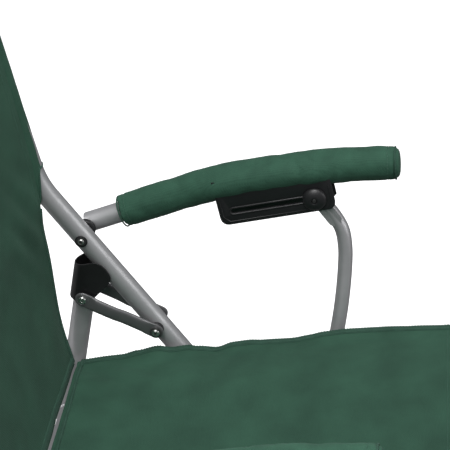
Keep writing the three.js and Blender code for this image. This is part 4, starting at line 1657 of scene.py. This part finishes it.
@dataclass(frozen=True)
class Studio:
    """Floor, lights and camera; the view is view_width millimetres wide at the target."""

    distance: float = 2.2
    sensor: float = 36.0
    turn: float = 4.5
    height: float = 30.0
    roll: float = 3.0
    view_width: float = 523.256
    floor_glow: float = 0.7
    target: Vector = field(default_factory=lambda: Vector((0.288, -0.00148, 0.5774)))
    lit: Vector = field(default_factory=lambda: Vector((0, 0, 0.55)))

    def camera(self) -> None:
        """Long-lens camera from the chair's right, looking down at the left arm."""
        turn, rise, roll = (math.radians(v) for v in (self.turn, self.height, self.roll))
        out = math.cos(rise)
        back = Vector((-math.cos(turn) * out, -math.sin(turn) * out, math.sin(rise)))
        right = Vector((math.sin(turn), -math.cos(turn), 0))
        up = right.cross(-back)
        cos, sin = math.cos(roll), math.sin(roll)
        right, up = right * cos + up * sin, up * cos - right * sin
        lens = bpy.data.cameras.new("view")
        lens.sensor_width = self.sensor
        lens.lens = self.sensor * self.distance / (self.view_width * MM)
        lens.clip_end = 50
        camera = linked("view", lens)
        place = Matrix((right, up, back)).transposed().to_4x4()
        place.translation = self.target + back * self.distance
        camera.matrix_world = place
        bpy.context.scene.camera = camera

    def light(self) -> None:
        """Large soft lamps above and to both sides, and a dim surround."""
        for name, place, size, power in (
            ("top", (-0.5, 0.1, 2.8), 1.5, 52.0),
            ("front", (-0.3, -2.6, 1.5), 1.4, 15.0),
            ("rear", (-0.6, 2.5, 1.6), 1.3, 30.0),
            ("key", (-2.7, 0.5, 3.0), 1.3, 40.0),
        ):
            lamp = bpy.data.lights.new(name, "AREA")
            lamp.energy = power
            lamp.size = size
            item = linked(name, lamp)
            item.location = place
            towards = self.lit - Vector(place)
            item.rotation_euler = towards.to_track_quat("-Z", "Y").to_euler()
        world = bpy.data.worlds.new("dim surround")
        world.use_nodes = True
        world.node_tree.nodes["Background"].inputs[0].default_value = (0.95, 0.97, 1.0, 1)
        world.node_tree.nodes["Background"].inputs[1].default_value = 0.22
        bpy.context.scene.world = world
        bpy.context.scene.view_settings.view_transform = "Standard"

    def floor(self) -> None:
        """Plain white floor that throws little light back up."""
        clear_selection()
        bpy.ops.mesh.primitive_plane_add(size=24, location=(0, 0, 0))
        plane = bpy.context.object
        plane.name = "studio_floor"
        made = bpy.data.materials.new("white floor")
        made.use_nodes = True
        shader = made.node_tree.nodes["Principled BSDF"]
        n = Nodes(made.node_tree)
        seen = n.add("ShaderNodeLightPath").outputs["Is Camera Ray"]
        cloud = n.noise(n.add("ShaderNodeTexCoord").outputs["Object"], 0.6, 2.0)
        pale = n.mix(n.between(cloud, 0, 1), (0.88, 0.88, 0.88), (0.92, 0.92, 0.92))
        n.link(n.mix(seen, (0.22, 0.22, 0.22), pale), shader.inputs["Base Color"])
        n.link(n.math("MULTIPLY", seen, self.floor_glow), shader.inputs["Emission Strength"])
        shader.inputs["Emission Color"].default_value = (1, 1, 1, 1)
        shader.inputs["Roughness"].default_value = 0.8
        shader.inputs["Specular IOR Level"].default_value = 0.1
        plane.data.materials.append(made)


def main() -> None:
    """Build every sub-assembly in order."""
    logging.basicConfig(level=logging.INFO, format="%(message)s")
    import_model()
    studio = Studio()
    studio.floor()
    studio.light()
    studio.camera()
    finishes = Finishes()
    hardware = Hardware(finishes)
    tubes = FrameTubes(finishes)
    joints = SaddleAndLinks(finishes, hardware)
    arms = ArmRest(finishes, hardware)
    sling = Sling(finishes)
    steps: list[Callable[[Side], None]] = [
        tubes.side, joints.side, arms.arm, arms.bracket, arms.knob, arms.support, arms.pad,
    ]
    for side in Side:
        for step in steps:
            step(side)
            log.info("%s %s done", step.__name__, side.word)
    tubes.bars()
    sling.seat()
    sling.back()


if __name__ == "__main__":
    main()
